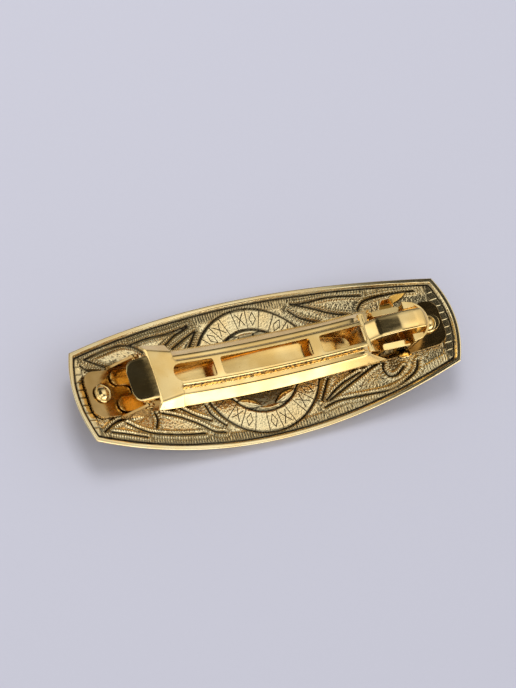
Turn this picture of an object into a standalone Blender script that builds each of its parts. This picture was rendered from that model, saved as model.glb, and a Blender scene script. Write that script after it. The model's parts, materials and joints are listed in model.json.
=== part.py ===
"""French barrette hair clip, lying on the ornament's face with the clasp up.

Metres. +X runs from the hinge to the clasp, +Z up. The origin is the middle of
the lowest point of the ornament plate. Lengths are measured along the chord, and
every strip that follows the plate is lifted by the rise of a circular arc.
"""

import math

import bmesh
import bpy
from mathutils import Matrix, Vector

# Ornament plate
PLATE_ARC_RADIUS = 0.124
PLATE_CORNER_X = 0.041
PLATE_CORNER_Y = 0.0093
PLATE_MIDDLE_Y = 0.0153
PLATE_END_BULGE = 0.0020
PLATE_BODY_LOW = 0.0003
PLATE_GROUND = 0.0011
PLATE_SIDE_STEPS = 24
PLATE_END_STEPS = 8
PLATE_SLICE = 0.0058

RIM_WIDTH = 0.0013
RIM_HEIGHT = 0.0007
RIM_ROOT = 0.0002
RELIEF_HEIGHT = 0.0003
RELIEF_ROOT = 0.0002
RING_OUTER_RADIUS = 0.0133
RING_INNER_RADIUS = 0.0088
RING_LINE_WIDTH = 0.0007
RING_STEPS = 40
LEAF_LINE_WIDTH = 0.0008
LEAF_POINT_SHARE = 4
LEAF_LENGTH = 0.0150
LEAF_WIDTH = 0.0056
LEAF_STEPS = 7
LEAF_X = 0.0250
LEAF_Y = 0.0070
LEAF_TILT = math.radians(14)
PAD_RADIUS = 0.0022
PAD_HEIGHT = 0.00025
PAD_STEPS = 16

# Base bar
BAR_HALF_LENGTH = 0.0399
BAR_HALF_WIDTH = 0.00485
BAR_CORNER_RADIUS = 0.0024
BAR_CORNER_STEPS = 5
BAR_LOW = 0.0015
BAR_THICKNESS = 0.0008
BAR_SLICE = 0.0050

# Rivets, set in from the ends of the bar
RIVET_INSET = 0.0025
RIVET_X = BAR_HALF_LENGTH - RIVET_INSET
RIVET_HEAD_RADIUS = 0.00195
RIVET_HEAD_HEIGHT = 0.0011
RIVET_SHANK_RADIUS = 0.0009
RIVET_SHANK_LENGTH = 0.0014
RIVET_HOLE_GAP = 0.00015
RIVET_SEAT_GAP = 0.0001
RIVET_SEGMENTS = 32
RIVET_DOME_STEPS = 6

# Hinge: the pin and the ears of the bar, placed from the bar's end
HINGE_INSET = 0.0107
HINGE_X = HINGE_INSET - BAR_HALF_LENGTH
HINGE_Z = 0.0105
EAR_OUTER_Y = 0.00545
EAR_THICKNESS = 0.00055
EAR_BACK = 0.0046
EAR_AHEAD = 0.0019
EAR_FOOT_LEFT = HINGE_X - EAR_BACK
EAR_FOOT_RIGHT = HINGE_X + EAR_AHEAD
EAR_SHOULDER_BACK = 0.0025
EAR_SHOULDER_DROP = 0.0012
EAR_HUB_RADIUS = 0.00125
EAR_HUB_ANGLE = 110
EAR_ROOT = 0.0004
HUB_STEPS = 12
PIN_RADIUS = 0.0005
PIN_RUNNING_GAP = 0.00005
PIN_HEAD_RADIUS = 0.0008
PIN_HEAD_LENGTH = 0.00025
PIN_SEGMENTS = 24

# Catch, placed from the rivet at its end of the bar
CATCH_OUTER_RADIUS = 0.0042
CATCH_RIVET_GAP = 0.00065
CATCH_CENTRE_X = RIVET_X - RIVET_HEAD_RADIUS - CATCH_RIVET_GAP - CATCH_OUTER_RADIUS
CATCH_WALL = 0.00045
CATCH_TOP = 0.0129
CATCH_ARC_STEPS = 20
CATCH_FLOOR_GAP = 0.0001
CATCH_FLOOR_THICKNESS = 0.0005
CATCH_FLOOR_BACK = 0.0002
CATCH_FLOOR_INSET = 0.0002
CATCH_FLOOR_START = 80
CATCH_FLOOR_STOP = 30
CATCH_TONGUE_HALF_WIDTH = 0.0017
CATCH_TONGUE_AHEAD = 0.0017
CATCH_EAR_BACK = 0.0005
CATCH_EAR_AHEAD = 0.0019
CATCH_EAR_WIDTH = 0.0014
CATCH_EAR_THICKNESS = 0.0005
CATCH_EAR_PROUD = 0.0001

FINGER_LENGTH = 0.0067
FINGER_LEFT = CATCH_CENTRE_X - FINGER_LENGTH
FINGER_END_GAP = 0.0003
FINGER_TOP = 0.0107
FINGER_LOW = 0.0065
FINGER_LIP_WIDTH = 0.0013
FINGER_LIP_THICKNESS = 0.0004
FINGER_LIP_PROUD = 0.0001
FINGER_LIP_SLOPE = math.radians(12)
FINGER_SLIT_BACK = 0.0034
FINGER_SLIT_WIDTH = 0.0005
FINGER_SLIT_TOP = 0.0089
TAB_BACK = 0.0036
TAB_LENGTH = 0.0031
TAB_ROOT_Z = 0.0087
TAB_REACH = 0.0027
TAB_SLOPE = math.radians(35)
TAB_THICKNESS = 0.00045
TAB_CORNER_RADIUS = 0.0009
TAB_ROOT_OVERLAP = 0.0003
BARB_INSET = 0.0003
BARB_LENGTH = 0.0009
BARB_LOW = 0.0090
BARB_HIGH = 0.0095
BARB_REACH = 0.0004
BARB_OVERLAP = 0.0002

# Locking arm, from its fold by the hinge to its end before the catch
ARM_ARC_RADIUS = 0.110
ARM_TOP = 0.0095
ARM_SHEET = 0.0005
ARM_AHEAD_OF_HINGE = 0.0023
ARM_BEFORE_CATCH = 0.0094
ARM_LEFT = HINGE_X + ARM_AHEAD_OF_HINGE
ARM_RIGHT = CATCH_CENTRE_X - ARM_BEFORE_CATCH
ARM_STRIP_Y = 0.0027
ARM_WALL_Y = 0.0031
ARM_BAND_Y = 0.0041
ARM_EDGE_Y = 0.0059
ARM_HEAD_STRIP_Y = 0.0028
ARM_HEAD_WALL_Y = 0.0034
ARM_HEAD_BAND_Y = 0.00546
ARM_HEAD_EDGE_Y = 0.00685
ARM_NECK_BAND_Y = 0.0045
ARM_NECK_EDGE_Y = 0.00663
ARM_END_EDGE_Y = 0.0056
ARM_STEP = 0.0018
ARM_EDGE_DROP = 0.0039
ARM_HEAD_EDGE_DROP = 0.00125
ARM_NECK_EDGE_DROP = 0.00198
ARM_HEAD_LEAN = 0.0010
ARM_END_LEAN = 0.0037
ARM_END_WALL_Y = 0.00385
ARM_END_LEAN_START = 0.0120
ARM_HEAD_LENGTH = 0.0053
ARM_STEP_LENGTH = 0.0008
ARM_END_STEP_LENGTH = 0.0012
ARM_STEP_START = ARM_LEFT + ARM_HEAD_LENGTH
ARM_STEP_END = ARM_STEP_START + ARM_STEP_LENGTH
ARM_SLICE = 0.0030
ARM_STEP_SLICE = 0.0004
WINDOW_HALF_WIDTH = 0.00187
WINDOW_CORNER_RADIUS = 0.0006
WINDOW_ROUND_RADIUS = 0.00185
WINDOW_CORNER_STEPS = 6
WINDOW_HEAD_MARGIN = 0.0045
WINDOW_HEAD_LENGTH = 0.0096
WINDOW_BRIDGE = 0.0017
WINDOW_END_BRIDGE = 0.0022
WINDOW_END_LENGTH = 0.0094
WINDOW_END_MARGIN = 0.0006

FLAP_REACH = 0.0027
FLAP_END_X = HINGE_X - FLAP_REACH
FLAP_END_Z = 0.0115
FLAP_ROOT_HALF_WIDTH = 0.0045
FLAP_END_HALF_WIDTH = 0.0042
FLAP_CORNER_RADIUS = 0.0018
FLAP_CORNER_STEPS = 6
FLAP_OVERLAP = 0.0004
FLAP_SINK = 0.00008
LUG_OUTER_Y = 0.00445
LUG_THICKNESS = 0.0005
LUG_HUB_RADIUS = 0.00105
LUG_TOP_OVERLAP = 0.0003

WING_HALF_WIDTH = 0.0041
WING_ROOT = 0.0008
WING_FOLD = 0.0003
WING_REACH = 0.0021
WING_DROP = 0.0014
NOSE_HALF_WIDTH = 0.00205
NOSE_SINK = 0.00012
NOSE_FOLD_AHEAD = 0.0022
NOSE_FOLD_Z = 0.0133
NOSE_RISE_LENGTH = 0.0053
NOSE_MIDDLE_Z = 0.01425
NOSE_CREST_AHEAD = 0.0021
NOSE_CREST_Z = 0.0143
NOSE_TIP_AHEAD = 0.0035
NOSE_TIP_Z = 0.01375
NOSE_BEND_RADIUS = 0.0012
NOSE_BEND_STEPS = 5
FOOT_BACK = 0.0004
FOOT_AHEAD = 0.0038
FOOT_LOW = 0.0065
FOOT_HIGH = 0.0080
FOOT_INNER_Y = 0.0049
FOOT_OUTER_Y = 0.0055
FOLD_RADIUS = 0.0004

# Bow spring, from its lobes behind the hinge to its tip under the arm's end
BOW_THICKNESS = 0.00045
BOW_SEAT_GAP = 0.0003
BOW_LOBE_BACK = 0.0047
BOW_LOBE_TIP_X = HINGE_X - BOW_LOBE_BACK
BOW_LOBE_Y = 0.0028
BOW_LOBE_RADIUS = 0.0016
BOW_LOBE_STEPS = 8
BOW_FORK_BACK = 0.0004
BOW_NECK_AHEAD = 0.0047
BOW_FORK_X = HINGE_X - BOW_FORK_BACK
BOW_NECK_X = HINGE_X + BOW_NECK_AHEAD
BOW_HALF_WIDTH = 0.00245
BOW_TIP_BACK = 0.0017
BOW_TAPER_LENGTH = 0.0075
BOW_TIP_X = ARM_RIGHT - BOW_TIP_BACK
BOW_TAPER_X = BOW_TIP_X - BOW_TAPER_LENGTH
BOW_TIP_HALF_WIDTH = 0.0015
BOW_CREST_X = 0.0030
BOW_CREST_RISE = 0.0049
BOW_TIP_RISE = 0.0012
BOW_FLAT_BACK = 0.0013
BOW_TROUGH = 0.0003
BOW_SLICE = 0.0030

CUT_OVERRUN = 0.002
WELD = 0.000001
MITRE_LIMIT = 0.5
SMOOTH_ANGLE = math.radians(32)
FLAT_ANGLE = math.radians(0.2)

POLISHED_GOLD = ((0.83, 0.62, 0.29, 1.0), 0.16)
ANTIQUE_GOLD = ((0.62, 0.46, 0.22, 1.0), 0.34)


def clear_scene():
    for item in list(bpy.data.objects):
        bpy.data.objects.remove(item, do_unlink=True)


def new_collection(name):
    collection = bpy.data.collections.new(name)
    bpy.context.scene.collection.children.link(collection)
    return collection


def new_material(name, finish):
    color, roughness = finish
    material = bpy.data.materials.new(name)
    material.use_nodes = True
    shader = material.node_tree.nodes["Principled BSDF"]
    shader.inputs["Base Color"].default_value = color
    shader.inputs["Metallic"].default_value = 1.0
    shader.inputs["Roughness"].default_value = roughness
    return material


def rise(x, radius=PLATE_ARC_RADIUS):
    """Height of the arc above its middle."""
    return radius - math.sqrt(radius * radius - x * x)


def arm_top(x):
    return ARM_TOP + rise(x, ARM_ARC_RADIUS)


def bar_top(x):
    return BAR_LOW + BAR_THICKNESS + rise(x)


def arc_points(centre, radius, start, stop, steps):
    """Points along an arc, both ends included, angles in degrees."""
    points = []
    for step in range(steps + 1):
        angle = math.radians(start + (stop - start) * step / steps)
        points.append(
            (centre[0] + radius * math.cos(angle), centre[1] + radius * math.sin(angle))
        )
    return points


def rounded_box(left, right, half_width, left_radius, right_radius, steps):
    """Outline of a box whose two ends have their own corner radii."""
    return (
        arc_points((right - right_radius, half_width - right_radius), right_radius, 90, 0, steps)
        + arc_points((right - right_radius, right_radius - half_width), right_radius, 0, -90, steps)
        + arc_points((left + left_radius, left_radius - half_width), left_radius, 270, 180, steps)
        + arc_points((left + left_radius, half_width - left_radius), left_radius, 180, 90, steps)
    )


def circle_points(centre, radius, steps):
    start = 180 / steps
    return arc_points(centre, radius, start, start + 360, steps)[:-1]


def filleted(points, radius, steps):
    """An open path with its inner corners turned into short curves."""
    path = [Vector(points[0])]
    for before, corner, after in zip(points, points[1:], points[2:]):
        corner = Vector(corner)
        back = Vector(before) - corner
        ahead = Vector(after) - corner
        reach = min(radius, back.length / 2, ahead.length / 2)
        start = corner + back.normalized() * reach
        stop = corner + ahead.normalized() * reach
        for step in range(steps + 1):
            share = step / steps
            low = start.lerp(corner, share)
            high = corner.lerp(stop, share)
            path.append(low.lerp(high, share))
    path.append(Vector(points[-1]))
    return path


def ribbon(path, thickness):
    """Closed outline of a strip whose upper face is the path."""
    lower = []
    for index, point in enumerate(path):
        before = path[max(index - 1, 0)]
        after = path[min(index + 1, len(path) - 1)]
        along = (after - before).normalized()
        lower.append(point + Vector((along.y, -along.x)) * thickness)
    return [tuple(point) for point in path] + [tuple(point) for point in reversed(lower)]


def object_from(mesh, name, collection):
    item = bpy.data.objects.new(name, mesh)
    collection.objects.link(item)
    return item


def made_mesh(item, name, collection):
    """The evaluated shape of an object as a welded mesh of its own."""
    bpy.context.view_layer.update()
    graph = bpy.context.evaluated_depsgraph_get()
    mesh = bpy.data.meshes.new_from_object(item.evaluated_get(graph))
    mesh.transform(item.matrix_world)
    old = item.data
    bpy.data.objects.remove(item, do_unlink=True)
    if isinstance(old, bpy.types.Curve):
        bpy.data.curves.remove(old)
    shape = bmesh.new()
    shape.from_mesh(mesh)
    bmesh.ops.remove_doubles(shape, verts=shape.verts, dist=WELD)
    bmesh.ops.recalc_face_normals(shape, faces=shape.faces)
    shape.to_mesh(mesh)
    shape.free()
    mesh.name = name
    return object_from(mesh, name, collection)


def outline_solid(name, outlines, low, high, collection, turn=None):
    """Solid between two levels from closed outlines, the inner ones being holes."""
    curve = bpy.data.curves.new(name, "CURVE")
    curve.dimensions = "2D"
    curve.fill_mode = "BOTH"
    curve.extrude = (high - low) / 2
    for outline in outlines:
        spline = curve.splines.new("POLY")
        spline.points.add(len(outline) - 1)
        for point, place in zip(spline.points, outline):
            point.co = (place[0], place[1], 0, 1)
        spline.use_cyclic_u = True
    item = object_from(curve, name, collection)
    lift = Matrix.Translation((0, 0, (low + high) / 2))
    item.matrix_world = turn @ lift if turn else lift
    return made_mesh(item, name, collection)


def side_solid(name, outlines, low_y, high_y, collection):
    """Solid from outlines drawn in X and Z, between two values of Y."""
    upright = Matrix.Rotation(math.radians(90), 4, "X")
    return outline_solid(name, outlines, -high_y, -low_y, collection, upright)


def slices(low, high, step):
    count = max(1, round((high - low) / step))
    return [low + (high - low) * index / count for index in range(1, count)]


def slice_mesh(item, across, along=()):
    """Cuts new edges at values of X, and of Y, so that a mesh can follow a curve."""
    shape = bmesh.new()
    shape.from_mesh(item.data)
    bmesh.ops.dissolve_limit(
        shape, angle_limit=FLAT_ANGLE, verts=shape.verts, edges=shape.edges
    )
    cuts = [(Vector((1, 0, 0)), x) for x in across] + [(Vector((0, 1, 0)), y) for y in along]
    for normal, place in cuts:
        geometry = shape.verts[:] + shape.edges[:] + shape.faces[:]
        bmesh.ops.bisect_plane(
            shape, geom=geometry, dist=WELD, plane_co=normal * place, plane_no=normal
        )
    bmesh.ops.triangulate(shape, faces=[face for face in shape.faces if len(face.verts) > 4])
    shape.to_mesh(item.data)
    shape.free()


def lift_points(item, height):
    """Raises each point by a height that depends on where it lies."""
    for vertex in item.data.vertices:
        vertex.co.z += height(vertex.co)
    item.data.update()


def join_shapes(item, tool, operation="UNION"):
    """Applies one Boolean and removes the second shape."""
    modifier = item.modifiers.new(operation.title(), "BOOLEAN")
    modifier.operation = operation
    modifier.solver = "EXACT"
    modifier.object = tool
    bpy.context.view_layer.update()
    graph = bpy.context.evaluated_depsgraph_get()
    mesh = bpy.data.meshes.new_from_object(item.evaluated_get(graph))
    item.modifiers.clear()
    item.data = mesh
    bpy.data.objects.remove(tool, do_unlink=True)


def finish(item, material, pivot=None):
    """Sets the material and shading, and puts the origin on the joint."""
    item.data.materials.clear()
    item.data.materials.append(material)
    item.data.shade_smooth()
    item.data.set_sharp_from_angle(angle=SMOOTH_ANGLE)
    if pivot:
        item.data.transform(Matrix.Translation(-Vector(pivot)))
        item.location = pivot


def barrel_outline(inset):
    """Outline of the plate, drawn in by an inset."""
    corner_x = PLATE_CORNER_X - inset
    corner_y = PLATE_CORNER_Y - inset
    middle_y = PLATE_MIDDLE_Y - inset
    upper = []
    for step in range(PLATE_SIDE_STEPS):
        share = 2 * step / PLATE_SIDE_STEPS - 1
        upper.append((corner_x * share, middle_y - (middle_y - corner_y) * share * share))
    end = []
    for step in range(PLATE_END_STEPS):
        share = 1 - 2 * step / PLATE_END_STEPS
        end.append((corner_x + PLATE_END_BULGE * (1 - share * share), corner_y * share))
    half = upper + end
    return half + [(-x, -y) for x, y in half]


def leaf_outline(centre, tilt, length, width):
    """A pointed leaf made of two shallow bows."""
    points = []
    for side in (1, -1):
        for step in range(LEAF_STEPS):
            share = side * (1 - 2 * step / LEAF_STEPS)
            x = -share * length / 2
            y = side * (1 - share * share) * width / 2
            points.append(
                (
                    centre[0] + x * math.cos(tilt) - y * math.sin(tilt),
                    centre[1] + x * math.sin(tilt) + y * math.cos(tilt),
                )
            )
    return points


def rivet_frame(x, height):
    """Frame on the plate's normal at a height above its ground."""
    slope = math.asin(x / PLATE_ARC_RADIUS)
    turn = Matrix.Rotation(-slope, 4, "Y")
    foot = Vector((x, 0, PLATE_GROUND + rise(x)))
    return Matrix.Translation(foot + turn.to_3x3() @ Vector((0, 0, height))) @ turn


def round_cutter(name, frame, radius, length, segments, collection):
    bpy.ops.mesh.primitive_cylinder_add(vertices=segments, radius=radius, depth=length)
    item = bpy.context.object
    item.name = name
    for owner in item.users_collection:
        owner.objects.unlink(item)
    collection.objects.link(item)
    item.data.transform(frame)
    item.matrix_world = Matrix.Identity(4)
    item.hide_render = True
    item.display_type = "WIRE"
    return item


def make_plate(parts, cutters, material):
    plate = outline_solid(
        "ornament_plate", [barrel_outline(0)], PLATE_BODY_LOW, PLATE_GROUND, parts
    )
    relief_low = PLATE_GROUND - RELIEF_ROOT
    relief_high = PLATE_GROUND + RELIEF_HEIGHT
    rim = outline_solid(
        "rim",
        [barrel_outline(0), barrel_outline(RIM_WIDTH)],
        PLATE_GROUND - RIM_ROOT,
        PLATE_GROUND + RIM_HEIGHT,
        cutters,
    )
    join_shapes(plate, rim)
    front_rim = outline_solid(
        "front_rim",
        [barrel_outline(0), barrel_outline(RIM_WIDTH)],
        0,
        PLATE_BODY_LOW + RIM_ROOT,
        cutters,
    )
    join_shapes(plate, front_rim)
    for radius in (RING_OUTER_RADIUS, RING_INNER_RADIUS):
        lines = [
            circle_points((0, 0), radius, RING_STEPS),
            circle_points((0, 0), radius - RING_LINE_WIDTH, RING_STEPS),
        ]
        join_shapes(plate, outline_solid("ring", lines, relief_low, relief_high, cutters))
        front = outline_solid("front_ring", lines, 0, PLATE_BODY_LOW + RELIEF_ROOT, cutters)
        join_shapes(plate, front)
    for side_x in (1, -1):
        for side_y in (1, -1):
            centre = (side_x * LEAF_X, side_y * LEAF_Y)
            tilt = -side_x * side_y * LEAF_TILT
            lines = [
                leaf_outline(centre, tilt, LEAF_LENGTH, LEAF_WIDTH),
                leaf_outline(
                    centre,
                    tilt,
                    LEAF_LENGTH - LEAF_POINT_SHARE * LEAF_LINE_WIDTH,
                    LEAF_WIDTH - 2 * LEAF_LINE_WIDTH,
                ),
            ]
            join_shapes(plate, outline_solid("leaf", lines, relief_low, relief_high, cutters))
            front = outline_solid("front_leaf", lines, 0, PLATE_BODY_LOW + RELIEF_ROOT, cutters)
            join_shapes(plate, front)
        pad = outline_solid(
            "pad",
            [circle_points((side_x * RIVET_X, 0), PAD_RADIUS, PAD_STEPS)],
            relief_low,
            PLATE_GROUND + PAD_HEIGHT,
            cutters,
        )
        join_shapes(plate, pad)
    end = PLATE_CORNER_X + PLATE_END_BULGE
    slice_mesh(plate, slices(-end, end, PLATE_SLICE))
    lift_points(plate, lambda place: rise(place.x))
    for side_x in (1, -1):
        hole = round_cutter(
            "plate_hole",
            rivet_frame(side_x * RIVET_X, 0),
            RIVET_SHANK_RADIUS + RIVET_HOLE_GAP,
            2 * (RIVET_SHANK_LENGTH - BAR_THICKNESS),
            RIVET_SEGMENTS,
            cutters,
        )
        join_shapes(plate, hole, "DIFFERENCE")
    finish(plate, material)
    return plate


def bar_outline():
    """Rounded strip that widens at the hinge ears, upper half then mirrored."""
    corner = BAR_CORNER_RADIUS
    left = arc_points(
        (corner - BAR_HALF_LENGTH, BAR_HALF_WIDTH - corner), corner, 180, 90, BAR_CORNER_STEPS
    )
    ears = [
        (EAR_FOOT_LEFT, BAR_HALF_WIDTH),
        (EAR_FOOT_LEFT, EAR_OUTER_Y),
        (EAR_FOOT_RIGHT, EAR_OUTER_Y),
        (EAR_FOOT_RIGHT, BAR_HALF_WIDTH),
    ]
    right = arc_points(
        (BAR_HALF_LENGTH - corner, BAR_HALF_WIDTH - corner), corner, 90, 0, BAR_CORNER_STEPS
    )
    upper = left + ears + right
    return upper + [(x, -y) for x, y in reversed(upper)]


def ear_outline():
    """Side view of a hinge ear, from its foot round the hub."""
    hub = arc_points((HINGE_X, HINGE_Z), EAR_HUB_RADIUS, 0, EAR_HUB_ANGLE, HUB_STEPS)
    return (
        [
            (EAR_FOOT_LEFT, bar_top(EAR_FOOT_LEFT) - EAR_ROOT),
            (EAR_FOOT_RIGHT, bar_top(EAR_FOOT_RIGHT) - EAR_ROOT),
        ]
        + hub
        + [(HINGE_X - EAR_SHOULDER_BACK, HINGE_Z - EAR_SHOULDER_DROP)]
    )


def hinge_frame():
    return Matrix.Translation((HINGE_X, 0, HINGE_Z)) @ Matrix.Rotation(math.radians(90), 4, "X")


def make_bar(parts, cutters, material):
    high = BAR_LOW + BAR_THICKNESS
    bar = outline_solid("base_bar", [bar_outline()], BAR_LOW, high, parts)
    slice_mesh(bar, slices(-BAR_HALF_LENGTH, BAR_HALF_LENGTH, BAR_SLICE))
    lift_points(bar, lambda place: rise(place.x))
    for side in (1, -1):
        low_y, high_y = sorted((side * EAR_OUTER_Y, side * (EAR_OUTER_Y - EAR_THICKNESS)))
        join_shapes(bar, side_solid("ear", [ear_outline()], low_y, high_y, cutters))
        hole = round_cutter(
            "bar_hole",
            rivet_frame(side * RIVET_X, 0),
            RIVET_SHANK_RADIUS + RIVET_HOLE_GAP,
            2 * CUT_OVERRUN + BAR_THICKNESS,
            RIVET_SEGMENTS,
            cutters,
        )
        join_shapes(bar, hole, "DIFFERENCE")
    bore = round_cutter(
        "ear_bore",
        hinge_frame(),
        PIN_RADIUS + PIN_RUNNING_GAP,
        2 * (EAR_OUTER_Y + CUT_OVERRUN),
        PIN_SEGMENTS,
        cutters,
    )
    join_shapes(bar, bore, "DIFFERENCE")
    finish(bar, material)
    return bar


def turned_solid(name, profile, segments, frame, collection):
    """A profile at +X, from top to bottom, turned about Z."""
    mesh = bpy.data.meshes.new(name)
    edges = [(index, index + 1) for index in range(len(profile) - 1)]
    mesh.from_pydata([(x, 0, z) for x, z in profile], edges, [])
    item = object_from(mesh, name, collection)
    screw = item.modifiers.new("Turn", "SCREW")
    screw.steps = segments
    screw.render_steps = segments
    screw.use_merge_vertices = True
    screw.merge_threshold = WELD
    item.matrix_world = frame
    return made_mesh(item, name, collection)


def make_rivet(name, x, extra, collection, material):
    """A domed rivet whose shank reaches into the plate."""
    seat = BAR_LOW + BAR_THICKNESS - PLATE_GROUND + RIVET_SEAT_GAP + extra
    sphere = (RIVET_HEAD_RADIUS**2 + RIVET_HEAD_HEIGHT**2) / (2 * RIVET_HEAD_HEIGHT)
    widest = math.asin(RIVET_HEAD_RADIUS / sphere)
    profile = []
    for step in range(RIVET_DOME_STEPS + 1):
        angle = widest * step / RIVET_DOME_STEPS
        profile.append((sphere * math.sin(angle), RIVET_HEAD_HEIGHT - sphere * (1 - math.cos(angle))))
    profile[0] = (0, RIVET_HEAD_HEIGHT)
    profile.append((RIVET_SHANK_RADIUS, 0))
    profile.append((RIVET_SHANK_RADIUS, -RIVET_SHANK_LENGTH - extra))
    profile.append((0, -RIVET_SHANK_LENGTH - extra))
    rivet = turned_solid(name, profile, RIVET_SEGMENTS, rivet_frame(x, seat), collection)
    finish(rivet, material)
    return rivet


def make_pin(collection, material):
    half = EAR_OUTER_Y + PIN_RUNNING_GAP
    head = half + PIN_HEAD_LENGTH
    profile = [
        (0, head),
        (PIN_HEAD_RADIUS, head),
        (PIN_HEAD_RADIUS, half),
        (PIN_RADIUS, half),
        (PIN_RADIUS, -half),
        (PIN_HEAD_RADIUS, -half),
        (PIN_HEAD_RADIUS, -head),
        (0, -head),
    ]
    pin = turned_solid("hinge_pin", profile, PIN_SEGMENTS, hinge_frame(), collection)
    finish(pin, material)
    return pin


def smooth_share(value, low, high):
    share = min(max((value - low) / (high - low), 0), 1)
    return share * share * (3 - 2 * share)


def blend(first, last, share):
    return first + (last - first) * share


def head_share(x):
    """0 at the arm's fold by the hinge and 1 from the start of its step on."""
    return min((x - ARM_LEFT) / ARM_HEAD_LENGTH, 1)


def arm_section(x):
    """Half of the arm's upper face at a station, as pairs of Y and drop."""
    fan = head_share(x)
    step = smooth_share(x, ARM_STEP_START, ARM_STEP_END)
    narrowing = (ARM_END_EDGE_Y - ARM_EDGE_Y) * smooth_share(x, 0, ARM_RIGHT)
    last = smooth_share(x, ARM_RIGHT - ARM_END_STEP_LENGTH, ARM_RIGHT)
    band = blend(ARM_HEAD_BAND_Y, ARM_NECK_BAND_Y, fan)
    edge = blend(ARM_HEAD_EDGE_Y, ARM_NECK_EDGE_Y, fan)
    drop = blend(ARM_HEAD_EDGE_DROP, ARM_NECK_EDGE_DROP, fan)
    wall = blend(ARM_HEAD_WALL_Y, ARM_WALL_Y, step)
    return [
        (blend(ARM_HEAD_STRIP_Y, ARM_STRIP_Y, step), 0),
        (blend(wall, ARM_END_WALL_Y, last), ARM_STEP * step * (1 - last)),
        (blend(band, ARM_BAND_Y, step), ARM_STEP * step),
        (blend(edge, ARM_EDGE_Y, step) + narrowing, blend(drop, ARM_EDGE_DROP, step)),
    ]


def flange_lean(x):
    """How far the free edge of the arm's flange stands past its own station."""
    end = max((x - ARM_END_LEAN_START) / (ARM_RIGHT - ARM_END_LEAN_START), 0)
    return ARM_END_LEAN * end - ARM_HEAD_LEAN * (1 - head_share(x))


def sheet_below(points, thickness):
    """Lower face of a folded sheet, mitred at each fold."""
    lower = []
    for index, point in enumerate(points):
        normals = []
        for a, b in ((index - 1, index), (index, index + 1)):
            if a >= 0 and b < len(points):
                along = (points[b] - points[a]).normalized()
                normals.append(Vector((along.y, -along.x)))
        middle = sum(normals, Vector((0, 0))).normalized()
        lower.append(point + middle * thickness / max(middle.dot(normals[0]), MITRE_LIMIT))
    return lower


def make_arm_body(collection):
    """The folded sheet of the arm, lofted through its stations."""
    stations = [ARM_LEFT, ARM_STEP_START]
    stations += slices(ARM_STEP_START, ARM_STEP_END, ARM_STEP_SLICE)
    end_step = ARM_RIGHT - ARM_END_STEP_LENGTH
    stations += [ARM_STEP_END] + slices(ARM_STEP_END, end_step, ARM_SLICE)
    stations += [end_step, ARM_RIGHT - ARM_END_STEP_LENGTH / 2, ARM_RIGHT]
    shape = bmesh.new()
    rows = []
    for x in stations:
        half = arm_section(x)
        upper = [Vector((-y, -drop)) for y, drop in reversed(half)]
        upper += [Vector((y, -drop)) for y, drop in half]
        lower = sheet_below(upper, ARM_SHEET)
        leans = [flange_lean(x)] + [0] * (len(upper) - 2) + [flange_lean(x)]
        loop = list(zip(upper + lower[::-1], leans + leans))
        rows.append(
            [
                shape.verts.new((x + lean, point.x, arm_top(x + lean) + point.y))
                for point, lean in loop
            ]
        )
    count = len(rows[0])
    for first, second in zip(rows, rows[1:]):
        for index in range(count):
            after = (index + 1) % count
            shape.faces.new((first[index], first[after], second[after], second[index]))
    width = count // 2
    for row in (rows[0], rows[-1]):
        for index in range(width - 1):
            shape.faces.new(
                (row[index], row[index + 1], row[count - 2 - index], row[count - 1 - index])
            )
    bmesh.ops.recalc_face_normals(shape, faces=shape.faces)
    mesh = bpy.data.meshes.new("locking_arm")
    shape.to_mesh(mesh)
    shape.free()
    return object_from(mesh, "locking_arm", collection)


def add_flap(arm, cutters):
    """The tail of the arm over the hinge, bent down from the fold."""
    root_z = arm_top(ARM_LEFT)
    length = math.hypot(ARM_LEFT - FLAP_END_X, root_z - FLAP_END_Z)
    slope = math.atan2(root_z - FLAP_END_Z, ARM_LEFT - FLAP_END_X)
    radius = FLAP_CORNER_RADIUS
    upper = [(FLAP_OVERLAP, FLAP_ROOT_HALF_WIDTH)]
    corner = arc_points(
        (radius - length, FLAP_END_HALF_WIDTH - radius), radius, 90, 180, FLAP_CORNER_STEPS
    )
    half = upper + corner
    outline = half + [(x, -y) for x, y in reversed(half)]
    turn = Matrix.Translation((ARM_LEFT, 0, root_z - FLAP_SINK)) @ Matrix.Rotation(-slope, 4, "Y")
    join_shapes(arm, outline_solid("flap", [outline], -ARM_SHEET, 0, cutters, turn))
    flap_low = root_z - (ARM_LEFT - HINGE_X) * math.tan(slope) - ARM_SHEET
    hub = arc_points((HINGE_X, HINGE_Z), LUG_HUB_RADIUS, 180, 360, HUB_STEPS)
    top = flap_low + LUG_TOP_OVERLAP
    lug = hub + [(HINGE_X + LUG_HUB_RADIUS, top), (HINGE_X - LUG_HUB_RADIUS, top - LUG_TOP_OVERLAP)]
    for side in (1, -1):
        low_y, high_y = sorted((side * LUG_OUTER_Y, side * (LUG_OUTER_Y - LUG_THICKNESS)))
        join_shapes(arm, side_solid("lug", [lug], low_y, high_y, cutters))
    bore = round_cutter(
        "lug_bore",
        hinge_frame(),
        PIN_RADIUS + PIN_RUNNING_GAP,
        2 * (LUG_OUTER_Y + CUT_OVERRUN),
        PIN_SEGMENTS,
        cutters,
    )
    join_shapes(arm, bore, "DIFFERENCE")


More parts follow.
